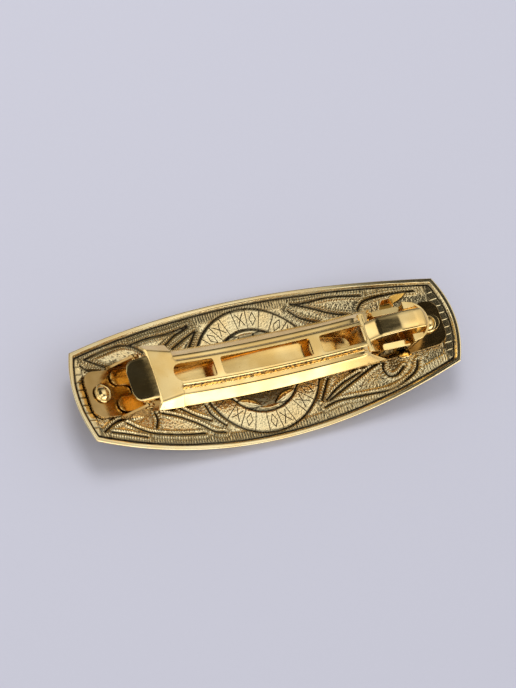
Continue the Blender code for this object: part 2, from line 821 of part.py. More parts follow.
def add_wings(arm, cutters):
    """The two sides of the arm's end, folded down beside the nose."""
    base = arm_top(ARM_RIGHT)
    fold = ARM_RIGHT + WING_FOLD
    path = filleted(
        [(ARM_RIGHT - WING_ROOT, base), (fold, base), (fold + WING_REACH, base - WING_DROP)],
        FOLD_RADIUS,
        NOSE_BEND_STEPS,
    )
    outline = ribbon(path, ARM_SHEET)
    for side in (1, -1):
        low_y, high_y = sorted((side * (NOSE_HALF_WIDTH - ARM_SHEET), side * WING_HALF_WIDTH))
        join_shapes(arm, side_solid("wing", [outline], low_y, high_y, cutters))


def add_nose(arm, cutters):
    """The strap that rises from the arm's end and reaches over the catch."""
    base = arm_top(ARM_RIGHT) - NOSE_SINK
    fold = ARM_RIGHT + NOSE_FOLD_AHEAD
    nose = filleted(
        [
            (ARM_RIGHT - WING_ROOT, base),
            (ARM_RIGHT, base),
            (fold, NOSE_FOLD_Z),
            (fold + NOSE_RISE_LENGTH, NOSE_MIDDLE_Z),
            (CATCH_CENTRE_X + NOSE_CREST_AHEAD, NOSE_CREST_Z),
            (CATCH_CENTRE_X + NOSE_TIP_AHEAD, NOSE_TIP_Z),
        ],
        NOSE_BEND_RADIUS,
        NOSE_BEND_STEPS,
    )
    strip = side_solid(
        "nose", [ribbon(nose, ARM_SHEET)], -NOSE_HALF_WIDTH, NOSE_HALF_WIDTH, cutters
    )
    join_shapes(arm, strip)


def add_feet(arm, cutters):
    """The tongues at the ends of the two flanges, beside the catch."""
    left = ARM_RIGHT - FOOT_BACK
    right = ARM_RIGHT + FOOT_AHEAD
    corners = [(left, FOOT_LOW), (right, FOOT_LOW), (right, FOOT_HIGH), (left, FOOT_HIGH)]
    outline = [tuple(point) for point in filleted(corners, FOLD_RADIUS, NOSE_BEND_STEPS)]
    for side in (1, -1):
        low_y, high_y = sorted((side * FOOT_INNER_Y, side * FOOT_OUTER_Y))
        join_shapes(arm, side_solid("foot", [outline], low_y, high_y, cutters))


def window_outlines():
    """The three windows along the arm, the first with a round end."""
    first = ARM_LEFT + WINDOW_HEAD_MARGIN
    middle = first + WINDOW_HEAD_LENGTH + WINDOW_BRIDGE
    last = ARM_RIGHT - WINDOW_END_MARGIN - WINDOW_END_LENGTH
    round_end = WINDOW_ROUND_RADIUS
    corner = WINDOW_CORNER_RADIUS
    windows = [
        (first, first + WINDOW_HEAD_LENGTH, round_end, corner),
        (middle, last - WINDOW_END_BRIDGE, corner, corner),
        (last, last + WINDOW_END_LENGTH, corner, corner),
    ]
    return [
        rounded_box(left, right, WINDOW_HALF_WIDTH, left_radius, right_radius, WINDOW_CORNER_STEPS)
        for left, right, left_radius, right_radius in windows
    ]


def make_arm(parts, cutters, material):
    arm = make_arm_body(parts)
    low = ARM_TOP - CUT_OVERRUN
    high = arm_top(ARM_LEFT) + CUT_OVERRUN
    for outline in window_outlines():
        window = outline_solid("window", [outline], low, high, cutters)
        join_shapes(arm, window, "DIFFERENCE")
    add_flap(arm, cutters)
    add_wings(arm, cutters)
    add_nose(arm, cutters)
    add_feet(arm, cutters)
    finish(arm, material, (HINGE_X, 0, HINGE_Z))
    return arm


def bow_outline():
    """Plan of the spring: two lobes, a fork, a neck and a round tip."""
    lobe = arc_points(
        (BOW_LOBE_TIP_X + BOW_LOBE_RADIUS, BOW_LOBE_Y), BOW_LOBE_RADIUS, 270, 90, BOW_LOBE_STEPS
    )
    inner = BOW_LOBE_Y - BOW_LOBE_RADIUS
    outer = BOW_LOBE_Y + BOW_LOBE_RADIUS
    fork = arc_points((BOW_FORK_X - inner, 0), inner, 0, 90, BOW_LOBE_STEPS // 2)
    tip = arc_points(
        (BOW_TIP_X - BOW_TIP_HALF_WIDTH, 0), BOW_TIP_HALF_WIDTH, 90, 0, BOW_LOBE_STEPS // 2
    )
    half = fork + lobe + [(BOW_FORK_X, outer), (BOW_NECK_X, BOW_HALF_WIDTH)]
    half += [(BOW_TAPER_X, BOW_HALF_WIDTH)] + tip
    return half + [(x, -y) for x, y in reversed(half[1:-1])]


def bow_rise(x):
    """How far the spring stands off the bar along its length."""
    if x < BOW_CREST_X:
        return BOW_SEAT_GAP + BOW_CREST_RISE * smooth_share(x, BOW_FORK_X - BOW_FLAT_BACK, BOW_CREST_X)
    share = (x - BOW_CREST_X) / (BOW_TIP_X - BOW_CREST_X)
    return BOW_SEAT_GAP + BOW_CREST_RISE + (BOW_TIP_RISE - BOW_CREST_RISE) * share * share


def make_bow(parts, material):
    bow = outline_solid("bow_spring", [bow_outline()], 0, BOW_THICKNESS, parts)
    slice_mesh(bow, slices(BOW_LOBE_TIP_X, BOW_TIP_X, BOW_SLICE), (0,))

    def height(place):
        depth = BOW_TROUGH * smooth_share(place.x, BOW_FORK_X, BOW_NECK_X)
        depth *= 1 - smooth_share(place.x, BOW_TAPER_X, BOW_TIP_X)
        hollow = depth * (abs(place.y) / BOW_HALF_WIDTH - 0.5)
        return bar_top(place.x) + bow_rise(place.x) + hollow

    lift_points(bow, height)
    pivot_x = BOW_LOBE_TIP_X + BOW_LOBE_RADIUS
    finish(bow, material, (pivot_x, 0, bar_top(pivot_x) + BOW_SEAT_GAP))
    return bow


def make_catch(parts, cutters, material):
    """The upright closed end of the catch, its ears and its floor."""
    inner = CATCH_OUTER_RADIUS - CATCH_WALL
    centre = (CATCH_CENTRE_X, 0)
    wall_outline = arc_points(centre, CATCH_OUTER_RADIUS, 90, -90, CATCH_ARC_STEPS)
    wall_outline += arc_points(centre, inner, -90, 90, CATCH_ARC_STEPS)
    catch = outline_solid("clasp_catch", [wall_outline], 0, CATCH_TOP, parts)
    floor_low = BAR_LOW + BAR_THICKNESS + CATCH_FLOOR_GAP
    for vertex in catch.data.vertices:
        if vertex.co.z < CATCH_TOP / 2:
            vertex.co.z = floor_low + CATCH_FLOOR_THICKNESS / 2 + rise(vertex.co.x)
    tongue = CATCH_TONGUE_HALF_WIDTH
    floor_left = CATCH_CENTRE_X - CATCH_FLOOR_BACK
    floor_right = RIVET_X + CATCH_TONGUE_AHEAD
    radius = CATCH_OUTER_RADIUS - CATCH_FLOOR_INSET
    steps = CATCH_ARC_STEPS // 4
    half = [(floor_left, radius), (CATCH_CENTRE_X, radius)]
    half += arc_points(centre, radius, CATCH_FLOOR_START, CATCH_FLOOR_STOP, steps)
    half += [(CATCH_CENTRE_X + CATCH_OUTER_RADIUS, tongue)]
    half += arc_points((floor_right - tongue, 0), tongue, 90, 0, steps)
    outline = half + [(x, -y) for x, y in reversed(half[:-1])]
    floor = outline_solid(
        "floor", [outline], floor_low, floor_low + CATCH_FLOOR_THICKNESS, cutters
    )
    slice_mesh(floor, slices(floor_left, floor_right, BAR_SLICE / 2))
    lift_points(floor, lambda place: rise(place.x))
    join_shapes(catch, floor)
    hole = round_cutter(
        "floor_hole",
        rivet_frame(RIVET_X, 0),
        RIVET_SHANK_RADIUS + RIVET_HOLE_GAP,
        2 * (CUT_OVERRUN + BAR_LOW),
        RIVET_SEGMENTS,
        cutters,
    )
    join_shapes(catch, hole, "DIFFERENCE")
    ear_left = CATCH_CENTRE_X - CATCH_EAR_BACK
    ear_right = CATCH_CENTRE_X + CATCH_EAR_AHEAD
    ear_inner = CATCH_OUTER_RADIUS - CATCH_EAR_WIDTH
    ear_outer = CATCH_OUTER_RADIUS + CATCH_EAR_PROUD
    for side in (1, -1):
        outline = [
            (ear_left, side * ear_inner),
            (ear_right, side * ear_inner),
            (ear_right, side * inner),
            (CATCH_CENTRE_X, side * ear_outer),
            (ear_left, side * ear_outer),
        ]
        high = CATCH_TOP + CATCH_EAR_PROUD
        ear = outline_solid(
            "catch_ear", [outline], high - CATCH_EAR_THICKNESS, high, cutters
        )
        join_shapes(catch, ear)
    finish(catch, material)
    return catch


def make_finger(name, side, parts, cutters, material):
    """One springy leg of the catch with its lip, press tab and barb."""
    outer = CATCH_OUTER_RADIUS
    inner = outer - CATCH_WALL
    right = CATCH_CENTRE_X - FINGER_END_GAP
    slit_left = CATCH_CENTRE_X - FINGER_SLIT_BACK - FINGER_SLIT_WIDTH / 2
    slit_right = slit_left + FINGER_SLIT_WIDTH
    wall_left = FINGER_LEFT + FINGER_LIP_PROUD
    wall_right = right - FINGER_LIP_PROUD
    wall_top = FINGER_TOP - FINGER_LIP_THICKNESS / 2
    outline = [
        (wall_left, FINGER_LOW),
        (slit_left, FINGER_LOW),
        (slit_left, FINGER_SLIT_TOP),
        (slit_right, FINGER_SLIT_TOP),
        (slit_right, FINGER_LOW),
        (wall_right, FINGER_LOW),
        (wall_right, wall_top),
        (wall_left, wall_top),
    ]
    low_y, high_y = sorted((side * inner, side * outer))
    finger = side_solid(name, [outline], low_y, high_y, parts)
    lip = rounded_box(
        FINGER_LEFT,
        right,
        FINGER_LIP_WIDTH / 2,
        FINGER_LIP_THICKNESS,
        FINGER_LIP_THICKNESS,
        WINDOW_CORNER_STEPS // 2,
    )
    middle = side * (outer + FINGER_LIP_PROUD - FINGER_LIP_WIDTH / 2)
    turn = Matrix.Translation((0, middle, FINGER_TOP)) @ Matrix.Rotation(
        -side * FINGER_LIP_SLOPE, 4, "X"
    )
    join_shapes(finger, outline_solid("lip", [lip], -FINGER_LIP_THICKNESS, 0, cutters, turn))
    radius = TAB_CORNER_RADIUS
    corner_y = TAB_REACH - radius
    tab_left = CATCH_CENTRE_X - TAB_BACK
    tab_right = tab_left + TAB_LENGTH
    tab = [(tab_left, -TAB_ROOT_OVERLAP)]
    tab += arc_points((tab_left + radius, corner_y), radius, 180, 90, WINDOW_CORNER_STEPS)
    tab += arc_points((tab_right - radius, corner_y), radius, 90, 0, WINDOW_CORNER_STEPS)
    tab += [(tab_right, -TAB_ROOT_OVERLAP)]
    tab = [(x, y * side) for x, y in tab]
    turn = Matrix.Translation((0, side * outer, TAB_ROOT_Z)) @ Matrix.Rotation(
        side * TAB_SLOPE, 4, "X"
    )
    join_shapes(finger, outline_solid("tab", [tab], -TAB_THICKNESS, 0, cutters, turn))
    low_y, high_y = sorted((side * (outer - BARB_OVERLAP), side * (outer + BARB_REACH)))
    barb_left = FINGER_LEFT + BARB_INSET
    barb_right = barb_left + BARB_LENGTH
    barb = [
        (barb_left, BARB_LOW),
        (barb_right, BARB_LOW),
        (barb_right, BARB_HIGH),
        (barb_left, BARB_HIGH),
    ]
    join_shapes(finger, side_solid("barb", [barb], low_y, high_y, cutters))
    finish(finger, material, (CATCH_CENTRE_X, side * (outer + inner) / 2, FINGER_LOW))
    return finger


def main():
    clear_scene()
    parts = new_collection("hair_clip")
    cutters = new_collection("cutters")
    gold = new_material("polished_gold", POLISHED_GOLD)
    antique = new_material("antique_gold", ANTIQUE_GOLD)
    make_plate(parts, cutters, antique)
    make_bar(parts, cutters, gold)
    make_rivet("rivet_hinge_end", -RIVET_X, 0, parts, gold)
    make_rivet(
        "rivet_clasp_end", RIVET_X, CATCH_FLOOR_GAP + CATCH_FLOOR_THICKNESS, parts, gold
    )
    make_pin(parts, gold)
    make_arm(parts, cutters, gold)
    make_bow(parts, gold)
    make_catch(parts, cutters, gold)
    make_finger("catch_finger_near", -1, parts, cutters, gold)
    make_finger("catch_finger_far", 1, parts, cutters, gold)


main()
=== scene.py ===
"""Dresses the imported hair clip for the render: relief plate, folded arm, fine edges, metals and light.

Lengths are in metres. +X runs from the hinge to the catch and +Z from the plate to the clasp.
"""

import json
import math

import bmesh
import bpy
import numpy as np
from mathutils import Matrix, Vector

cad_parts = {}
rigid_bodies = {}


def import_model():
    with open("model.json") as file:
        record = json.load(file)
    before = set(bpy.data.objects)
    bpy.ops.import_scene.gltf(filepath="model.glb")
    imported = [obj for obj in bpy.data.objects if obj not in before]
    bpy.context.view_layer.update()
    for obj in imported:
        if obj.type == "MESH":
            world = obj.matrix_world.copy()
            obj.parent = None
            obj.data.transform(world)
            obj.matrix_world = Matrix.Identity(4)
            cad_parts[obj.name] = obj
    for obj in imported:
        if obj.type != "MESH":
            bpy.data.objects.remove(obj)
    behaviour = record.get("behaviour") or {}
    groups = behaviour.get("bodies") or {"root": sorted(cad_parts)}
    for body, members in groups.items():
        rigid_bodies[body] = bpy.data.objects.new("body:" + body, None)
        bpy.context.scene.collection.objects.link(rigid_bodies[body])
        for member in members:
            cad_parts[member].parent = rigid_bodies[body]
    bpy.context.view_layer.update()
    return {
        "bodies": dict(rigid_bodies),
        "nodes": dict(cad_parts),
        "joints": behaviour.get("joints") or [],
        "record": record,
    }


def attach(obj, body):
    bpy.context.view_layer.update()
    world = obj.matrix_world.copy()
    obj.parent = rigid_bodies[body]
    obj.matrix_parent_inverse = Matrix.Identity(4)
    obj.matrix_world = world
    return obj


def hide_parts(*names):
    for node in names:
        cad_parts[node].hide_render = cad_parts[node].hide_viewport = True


MM = 0.001

# Plate
PLATE_ARC_RADIUS = 0.124
PLATE_CORNER_X = 0.041
PLATE_CORNER_Y = 0.0093
PLATE_MIDDLE_Y = 0.0153
PLATE_END_BULGE = 0.0020
PLATE_GROUND = 0.0011
PLATE_FRONT = 0.0003
PLATE_DRAFT = 0.0006
PLATE_CELLS_X = 210
PLATE_CELLS_Y = 75
PLATE_EDGE_STEPS = (0.0, 0.00007, 0.00018, 0.00034)

# Seat of the bar, where the relief is kept low
SEAT_HALF_WIDTH = 0.0049
SEAT_HALF_LENGTH = 0.0400
SEAT_FADE = 0.0006
BAR_CLEAR = 0.00025

# Relief: sizes, the widths over which its parts fade, and how dark and how plain they are
RIM_WIDTH = 0.00108
RIM_HEIGHT = 0.0007
RIM_ROUND = 0.00030
RIM_LIP = 0.00042
RIM_LIP_DEPTH = 0.00005
RIM_LIP_WIDTH = 0.00008
RIM_LIP_DARK = 0.20
RIM_LIP_DARK_WIDTH = 0.00009
RIM_FADE = (-0.00022, 0.00006)
RIM_CLEAN = -0.0002
RIM_FOOT = 0.00024
RIM_FOOT_LINE = (0.00012, 0.00036)
BORDER_WIDTH = 0.0019
BORDER_HEIGHT = 0.00016
BORDER_FADE = 0.0004
RING_OUTER_RADIUS = 0.0133
RING_INNER_RADIUS = 0.0088
RING_CELLS = 26
RING_HEIGHT = 0.00010
RING_FADE = 0.0002
RING_CLEAR = (0.0002, 0.0004)
RING_LEAST = 0.01
RING_PLAIN = 0.45
CIRCLE_LINE = (0.00010, 0.00036)
INSIDE_DARK = 0.75
BAND_WIDTH = 0.0011
BAND_HEIGHT = 0.00026

GROOVE_WIDTH = 0.00025
GROOVE_DEPTH = 0.00024
GROOVE_SHARES = (0.4, 1.5)
LINE_FADE = 0.0003
RIDGE_OFFSET = 0.00058
RIDGE_WIDTH = 0.00028
RIDGE_HEIGHT = 0.00026
HATCH_PITCH = 0.00058
STIPPLE_PITCH = 0.00042

# Blades and leaves around the ring, as plate positions in millimetres
STROKES = (
    ((-37.7, 7.8), (-33.4, 9.1), (-28.8, 9.9), (-25.7, 9.4), (-23.8, 8.0)),
    ((-37.7, 7.8), (-34.8, 6.5), (-32.7, 5.6), (-30.7, 6.1)),
    ((-39.0, 6.6), (-37.6, 5.5), (-34.9, 5.0)),
    ((-26.0, 9.8), (-22.2, 10.6), (-17.3, 11.0), (-13.6, 11.6), (-11.9, 12.0)),
    ((-11.9, 11.7), (-15.2, 10.5), (-17.2, 9.3), (-19.3, 8.1)),
    ((-10.5, 10.6), (-13.2, 9.5), (-16.9, 7.7)),
    ((-10.5, 10.6), (-12.6, 7.9), (-13.4, 6.9)),
    ((-38.2, -7.4), (-35.3, -5.8), (-32.6, -5.1), (-28.9, -4.7)),
    ((-32.5, -6.1), (-30.0, -7.7), (-26.9, -9.0), (-21.4, -10.1), (-15.8, -10.7)),
    ((-23.9, -5.1), (-20.1, -6.5), (-16.2, -8.7), (-13.5, -10.7), (-11.3, -11.3)),
    ((-25.4, -4.9), (-25.3, -6.4), (-26.1, -8.0)),
    ((-19.5, -4.7), (-16.7, -6.7), (-13.7, -8.3)),
    ((-13.7, -5.0), (-12.9, -7.3), (-10.6, -9.9)),
    ((-36.6, -7.6), (-32.7, -8.5), (-29.0, -9.6)),
    ((11.7, 11.9), (14.9, 11.6), (20.4, 11.5), (26.4, 10.1)),
    ((11.7, 12.1), (15.6, 10.3), (19.3, 8.2), (23.1, 6.7)),
    ((10.8, 10.8), (12.8, 8.7), (16.5, 6.7)),
    ((24.9, 7.3), (26.4, 8.7), (29.3, 9.0), (33.5, 8.6), (37.0, 8.0)),
    ((14.3, -5.0), (11.5, -9.2)),
    ((21.1, -5.5), (16.2, -7.1), (12.5, -9.4)),
    ((25.4, -4.5), (20.9, -6.3), (15.7, -8.5), (13.1, -9.6)),
    ((11.6, -10.8), (15.1, -10.1), (21.6, -10.5), (26.9, -10.7), (31.9, -8.6), (33.3, -6.4)),
    ((26.4, -4.8), (26.0, -6.4), (26.8, -8.0), (28.5, -8.0), (30.2, -6.8)),
)
STROKE_STEPS = 6
STROKE_RING_CLEAR = (0.0004, 0.0003)
STROKE_RIM_CLEAR = (0.0006, 0.0012)
HATCH_REACH = 0.0013
FAR_AWAY = 1.0
LENSES = (
    ((1.5, -7.6), (6.6, -5.6)),
    ((-1.5, -7.6), (-6.6, -5.6)),
    ((1.5, 7.6), (6.6, 5.6)),
    ((-1.5, 7.6), (-6.6, 5.6)),
)
LENS_SHARE = 0.17
LENS_RISE = 0.0001
LENS_LINE = (0.00008, 0.00026)
SCOOPS = (((29.6, 6.9), (35.6, 8.0)),)
SCOOP_SHARE = 0.14
SCOOP_SLOPE = 0.40
SCOOP_EDGE_SHARE = 0.10
END_LINE_X = 0.0392
END_LINE_WIDTH = 0.00016
END_CELL_PITCH = 0.0016
END_CELL_LINE = (0.42, 0.49)
END_DEPTH_SHARE = 0.7
END_DARK = 0.9
END_PLAIN = 0.7

# Hinge and arm
HINGE_X = -0.0292
HINGE_Z = 0.0105
ARM_ARC_RADIUS = 0.110
ARM_TOP = 0.0095
ARM_SHEET = 0.0005
ARM_LEFT = -0.0269
ARM_RIGHT = 0.0212
ARM_HEAD = (0.0028, 0.0034, 0.00546, 0.00685, 0.00125)
ARM_NECK = (0.0028, 0.0034, 0.0045, 0.00663, 0.00198)
ARM_BODY = (0.0027, 0.0031, 0.0041, 0.0059, 0.0039)
ARM_END_EDGE_Y = 0.0056
ARM_HEAD_LEAN = 0.0010
ARM_END_LEAN = 0.0037
ARM_END_LEAN_START = 0.0120
ARM_STEP = 0.0018
ARM_STEP_START = -0.0216
ARM_STEP_END = -0.0209
ARM_STEP_STATIONS = 9
ARM_END_WALL_Y = 0.00385
ARM_END_STEP = 0.0200
ARM_STATIONS = 90
ARM_FOLD = 0.00055
ARM_INNER_FOLD = 0.00018
ARM_FOLD_STEPS = 4
WINDOWS = ((-0.0224, -0.0128, 0.00185), (-0.0111, 0.0090, 0.0006), (0.0112, 0.0206, 0.0006))
WINDOW_HALF_WIDTH = 0.00187
WINDOW_CORNER = 0.0006
WINDOW_CORNER_STEPS = 8
FLAP_END_X = -0.0319
FLAP_END_Z = 0.0115
FLAP_KNEE_X = -0.0285
FLAP_KNEE_Z = 0.01258
FLAP_BEND = 0.0003
FLAP_KNEE_BEND = 0.0005
FLAP_ROOT_HALF_WIDTH = 0.0045
FLAP_END_HALF_WIDTH = 0.0042
FLAP_CORNER = 0.0019
FLAP_SINK = 0.00010
FLAP_OVERLAP = 0.0004
FLAP_CROWN = 0.00005
FLAP_BEND_STEPS = 3
FLAP_STEPS = 4
LUG_OUTER_Y = 0.00445
LUG_THICKNESS = 0.0005
LUG_RADIUS = 0.00105
LUG_TOP_Z = 0.0118
NOSE_PATH = (
    (0.0202, 0.01128),
    (0.0207, 0.01130),
    (0.0230, 0.01345),
    (0.0279, 0.01452),
    (0.0313, 0.01462),
    (0.0332, 0.01432),
    (0.0341, 0.01375),
)
NOSE_HALF_WIDTH = 0.00205
NOSE_BEND = 0.0006
NOSE_CORNER = 0.0012
NOSE_CROWN = 0.00012
WING_PATH = ((0.0204, 0.01148), (0.0214, 0.01150), (0.0236, 0.0101))
WING_INNER_Y = 0.00155
WING_OUTER_Y = 0.0041
WING_BEND = 0.0005
FOOT_BOX = (0.0208, 0.0250, 0.0065, 0.0080)
FOOT_INNER_Y = 0.0049
FOOT_OUTER_Y = 0.0055
FOOT_CORNER = 0.0004
BEND_STEPS = 6
STRAP_ROUND = 0.35
STRAP_POWER = 6
STRAP_ANGLES = range(-90, 91, 15)
CORNER_ANGLES = range(0, 91, 10)
HUB_ANGLES = range(180, 361, 15)
FOLD_SHARE = 0.45
MITRE_LEAST = 0.5
CUT_OVERRUN = 0.002

# Where the walls of the arm are darkened with specks, and where the near finger gets painted shade
DARK_WALL_MARGIN = 0.0002
DARK_WALL_TOP = 0.00015
DARK_WALL_LOW = 0.00005
FINGER_OUTER_Y = 0.00415
FINGER_LIP_Z = 0.0099
FINGER_PAINTED_SHADE = 3.0

# Rivets: where they stand, and their turned profile
RIVET_X = 0.0374
RIVET_SEAT = 0.0013
RIVET_PROFILE = (
    (0.00195, 0.00000),
    (0.00195, 0.00022),
    (0.00184, 0.00036),
    (0.00166, 0.00042),
    (0.00150, 0.00037),
    (0.00143, 0.00034),
    (0.00135, 0.00048),
    (0.00112, 0.00074),
    (0.00082, 0.00094),
    (0.00048, 0.00106),
    (0.00018, 0.00110),
)
RIVET_SEGMENTS = 64

# Finish of the other pieces
WELD = 0.000002
EDGE_RADIUS = 0.00014
FLAT_ANGLE = math.radians(0.4)
SHARP_ANGLE = math.radians(30)
EDGE_SEGMENTS = 3
BEVEL_SAMPLES = 4

# Solids that get fine edges: node, piece, body, metal, slot and edge radius
COPIES = (
    # The base bar takes the gold that is painted darker for its shade
    ("base_bar", "fine_bar", "base", "painted_shade_gold", "polished_gold", 0.00010),
    ("hinge_pin", "fine_pin", "base", "polished_gold", "polished_gold", 0.00004),
    ("clasp_catch", "fine_catch", "base", "polished_gold", "polished_gold", 0.00008),
    ("bow_spring", "fine_bow", "bow", "spring_gold", "spring_gold", 0.00008),
    ("catch_finger_near", "fine_finger_near", "finger_near", "polished_gold", "polished_gold", 0.00006),
    ("catch_finger_far", "fine_finger_far", "finger_far", "polished_gold", "polished_gold", 0.00006),
)

# Polished metals: colour, shade, roughness and stretch of the drawn lines along X
METALS = {
    "polished_gold": ((1.0, 0.74, 0.32, 1), (0.92, 0.62, 0.22, 1), 0.09, 0.15),
    # The polished gold painted darker, as painted shade for the base bar, which mirrors a darker part of
    # the studio
    "painted_shade_gold": ((0.60, 0.39, 0.15, 1), (0.46, 0.28, 0.09, 1), 0.11, 0.15),
    "spring_gold": ((0.98, 0.70, 0.28, 1), (0.86, 0.56, 0.18, 1), 0.12, 0.08),
}
TONE_PITCH = 0.006
TONE_LINE = (0.35, 0.65)
DRAWN_PITCH = 0.0006
DRAWN_LINE = (0.3, 0.7)
DRAWN_ROUGHER = 1.7
SCAR_PITCH = 0.0005
SCAR_LINE = (0.70, 0.76)
SPECK_PITCH = 0.00045
SPECK_LINE = (0.40, 0.56, 1.0, 0.25)
# Colour of the darker specks on the arm walls and of the painted shade on the near finger
DARK_SPECK_AND_SHADE_COLOUR = (0.06, 0.04, 0.02, 1)
POLISHED_BUMP = 0.000006
POLISHED_BUMP_STRENGTH = 0.30

# Antique metal of the plate
ANTIQUE_LIGHT = (1.0, 0.82, 0.45, 1)
ANTIQUE_DEEP = (1.0, 0.75, 0.36, 1)
# Orange painted into the scoops, as the reflection of the gold clasp
SCOOP_PAINTED_REFLECTION = (0.80, 0.46, 0.10, 1)
STAIN_COLOUR = (0.022, 0.015, 0.010, 1)
CLOUD_PITCH = 0.0045
CLOUD_LINE = (0.35, 0.68)
HATCH_WANDER = 5.0
HATCH_WANDER_PITCH = 0.0011
HATCH_CALM = 0.6
PIT_LINE = (0.43, 0.37)
PIT_DARK = 0.64
GAP_LINE = (0.34, 0.08)
GAP_DARK = 0.72
ANTIQUE_ROUGHNESS = 0.19
ROUGH_GROUND = 0.05
ROUGH_STAIN = 0.15
HATCH_RELIEF = 0.8
MARK_RELIEF = 0.7
ANTIQUE_BUMP = 0.00015
FINISHES = ("dark", "hatch", "plain", "run", "ring", "hollow")

# Diamonds, crosses and lines in the cells of the ring, as shares of a cell
CELL_LINE = (0.465, 0.48)
CELL_REACH = 0.97
DIAMOND_SLOPE = 2.4
DIAMOND_REACH = 0.62
CROSS_SLOPE = 2.0
CROSS_END = (0.60, 0.66)
SHAPE_LINE = (0.05, 0.09)

# Camera: its image in pixels, its sensor in millimetres and its place in metres
IMAGE_WIDTH = 516
IMAGE_HEIGHT = 688
FOCAL_PIXELS = 2968.8
CENTRE_PIXEL = (257.32, 369.66)
SENSOR = 36
CAMERA_PLACE = (-0.2527, -0.1461, 0.5261)
CAMERA_ROWS = (
    (0.8867, 0.1914, -0.4208),
    (-0.3136, 0.9179, -0.2433),
    (0.3397, 0.3477, 0.8739),
)
NEAR_CLIP = 0.01

# Floor
FLOOR_SIZE = 3.0
FLOOR_COLOUR = (0.585, 0.585, 0.675)
FLOOR_SHADE = 0.985
FLOOR_ROUGHNESS = 0.9
FLOOR_SPECULAR = 0.1
PAPER_PITCH = 0.0008

# Even light and lamp
FILL_LEVEL = 0.74
KEY_PLACE = (-0.10, 0.42, 0.75)
KEY_SIZE = 0.35
KEY_POWER = 2.6

# Bright and dark parts of the studio that the metal mirrors: direction, inner and outer angle, strength
STUDIO_GREY = 0.40
BRIGHT_LOBES = (
    ((0.38, 0.24, 0.88), 7, 30, 0.36),
    ((0.42, -0.90, 0.10), 18, 42, 2.1),
    ((-0.60, -0.60, 0.50), 8, 25, 0.9),
    ((-0.87, 0.24, 0.42), 11, 22, 0.8),
    ((0.78, -0.62, 0.03), 9, 18, 0.8),
    ((-0.14, -0.38, 0.91), 9, 19, 1.1),
    ((0.30, 0.78, 0.55), 8, 22, 1.3),
    ((0.62, -0.10, 0.78), 8, 22, 0.35),
    ((0.40, -0.03, 0.91), 8, 16, 0.30),
    ((0.80, 0.25, 0.55), 8, 26, 0.30),
)
DARK_LOBES = (
    ((-0.33, 0.22, 0.92), 24, 31, 0.93),
    ((0.10, 0.95, 0.30), 24, 50, 0.92),
    ((0.42, -0.52, 0.74), 8, 23, 0.75),
    ((0.12, -0.99, 0.05), 6, 16, 0.68),
)


def smooth(value, low, high):
    """Share from 0 to 1 as value passes from low to high."""
    share = np.clip((value - low) / (high - low), 0, 1)
    return share * share * (3 - 2 * share)


def bell(value, centre, width):
    return np.exp(-(((value - centre) / width) ** 2))


def rise(x, radius=PLATE_ARC_RADIUS):
    return radius - np.sqrt(radius**2 - x**2)


def added(name, mesh):
    item = bpy.data.objects.new(name, mesh)
    bpy.context.scene.collection.objects.link(item)
    return item


def add_layer(mesh, name, values):
    """Writes one value for every vertex, which a material reads by its name."""
    layer = mesh.attributes.new(name, "FLOAT", "POINT")
    layer.data.foreach_set("value", values.astype(np.float32))


# Materials


def new_material(name):
    material = bpy.data.materials.new(name)
    material.use_nodes = True
    return material, material.node_tree, material.node_tree.nodes["Principled BSDF"]


def put(tree, target, value):
    """Links an output to a socket, or sets the socket."""
    if isinstance(value, bpy.types.NodeSocket):
        tree.links.new(value, target)
    else:
        target.default_value = value


def maths(tree, operation, first, second=None, third=None):
    node = tree.nodes.new("ShaderNodeMath")
    node.operation = operation
    for socket, value in zip(node.inputs, (first, second, third)):
        if value is not None:
            put(tree, socket, value)
    return node.outputs[0]


def times(tree, first, second):
    return maths(tree, "MULTIPLY", first, second)


def plus(tree, first, second):
    return maths(tree, "ADD", first, second)


def minus(tree, first, second):
    return maths(tree, "SUBTRACT", first, second)


def larger(tree, first, second):
    return maths(tree, "MAXIMUM", first, second)


def unsigned(tree, value):
    return maths(tree, "ABSOLUTE", value)


def ramp(tree, value, low, high, start=0.0, stop=1.0):
    """Smooth change from start to stop while value passes from low to high."""
    node = tree.nodes.new("ShaderNodeMapRange")
    node.interpolation_type = "SMOOTHSTEP"
    for name, given in zip(
        ("Value", "From Min", "From Max", "To Min", "To Max"), (value, low, high, start, stop)
    ):
        put(tree, node.inputs[name], given)
    return node.outputs[0]


def mixed(tree, share, first, second):
    node = tree.nodes.new("ShaderNodeMix")
    node.data_type = "RGBA"
    put(tree, node.inputs["Factor"], share)
    put(tree, node.inputs["A"], first)
    put(tree, node.inputs["B"], second)
    return node.outputs["Result"]


def place(tree, stretch=(1, 1, 1)):
    """Position on the object, stretched along its axes."""
    coordinate = tree.nodes.new("ShaderNodeTexCoord")
    mapping = tree.nodes.new("ShaderNodeMapping")
    mapping.inputs["Scale"].default_value = stretch
    tree.links.new(coordinate.outputs["Object"], mapping.inputs["Vector"])
    return mapping.outputs[0]


def noise(tree, where, pitch, detail=2.0):
    node = tree.nodes.new("ShaderNodeTexNoise")
    tree.links.new(where, node.inputs["Vector"])
    node.inputs["Scale"].default_value = 1 / pitch
    node.inputs["Detail"].default_value = detail
    return node.outputs["Fac"]


def bumped(tree, height, distance, strength, onto=None):
    node = tree.nodes.new("ShaderNodeBump")
    node.inputs["Distance"].default_value = distance
    node.inputs["Strength"].default_value = strength
    tree.links.new(height, node.inputs["Height"])
    if onto is not None:
        tree.links.new(onto, node.inputs["Normal"])
    return node.outputs[0]


def attribute(tree, name):
    node = tree.nodes.new("ShaderNodeAttribute")
    node.attribute_type = "GEOMETRY"
    node.attribute_name = name
    return node.outputs["Fac"]


def soft_edges(tree, radius):
    node = tree.nodes.new("ShaderNodeBevel")
    node.samples = BEVEL_SAMPLES
    node.inputs["Radius"].default_value = radius
    return node.outputs[0]


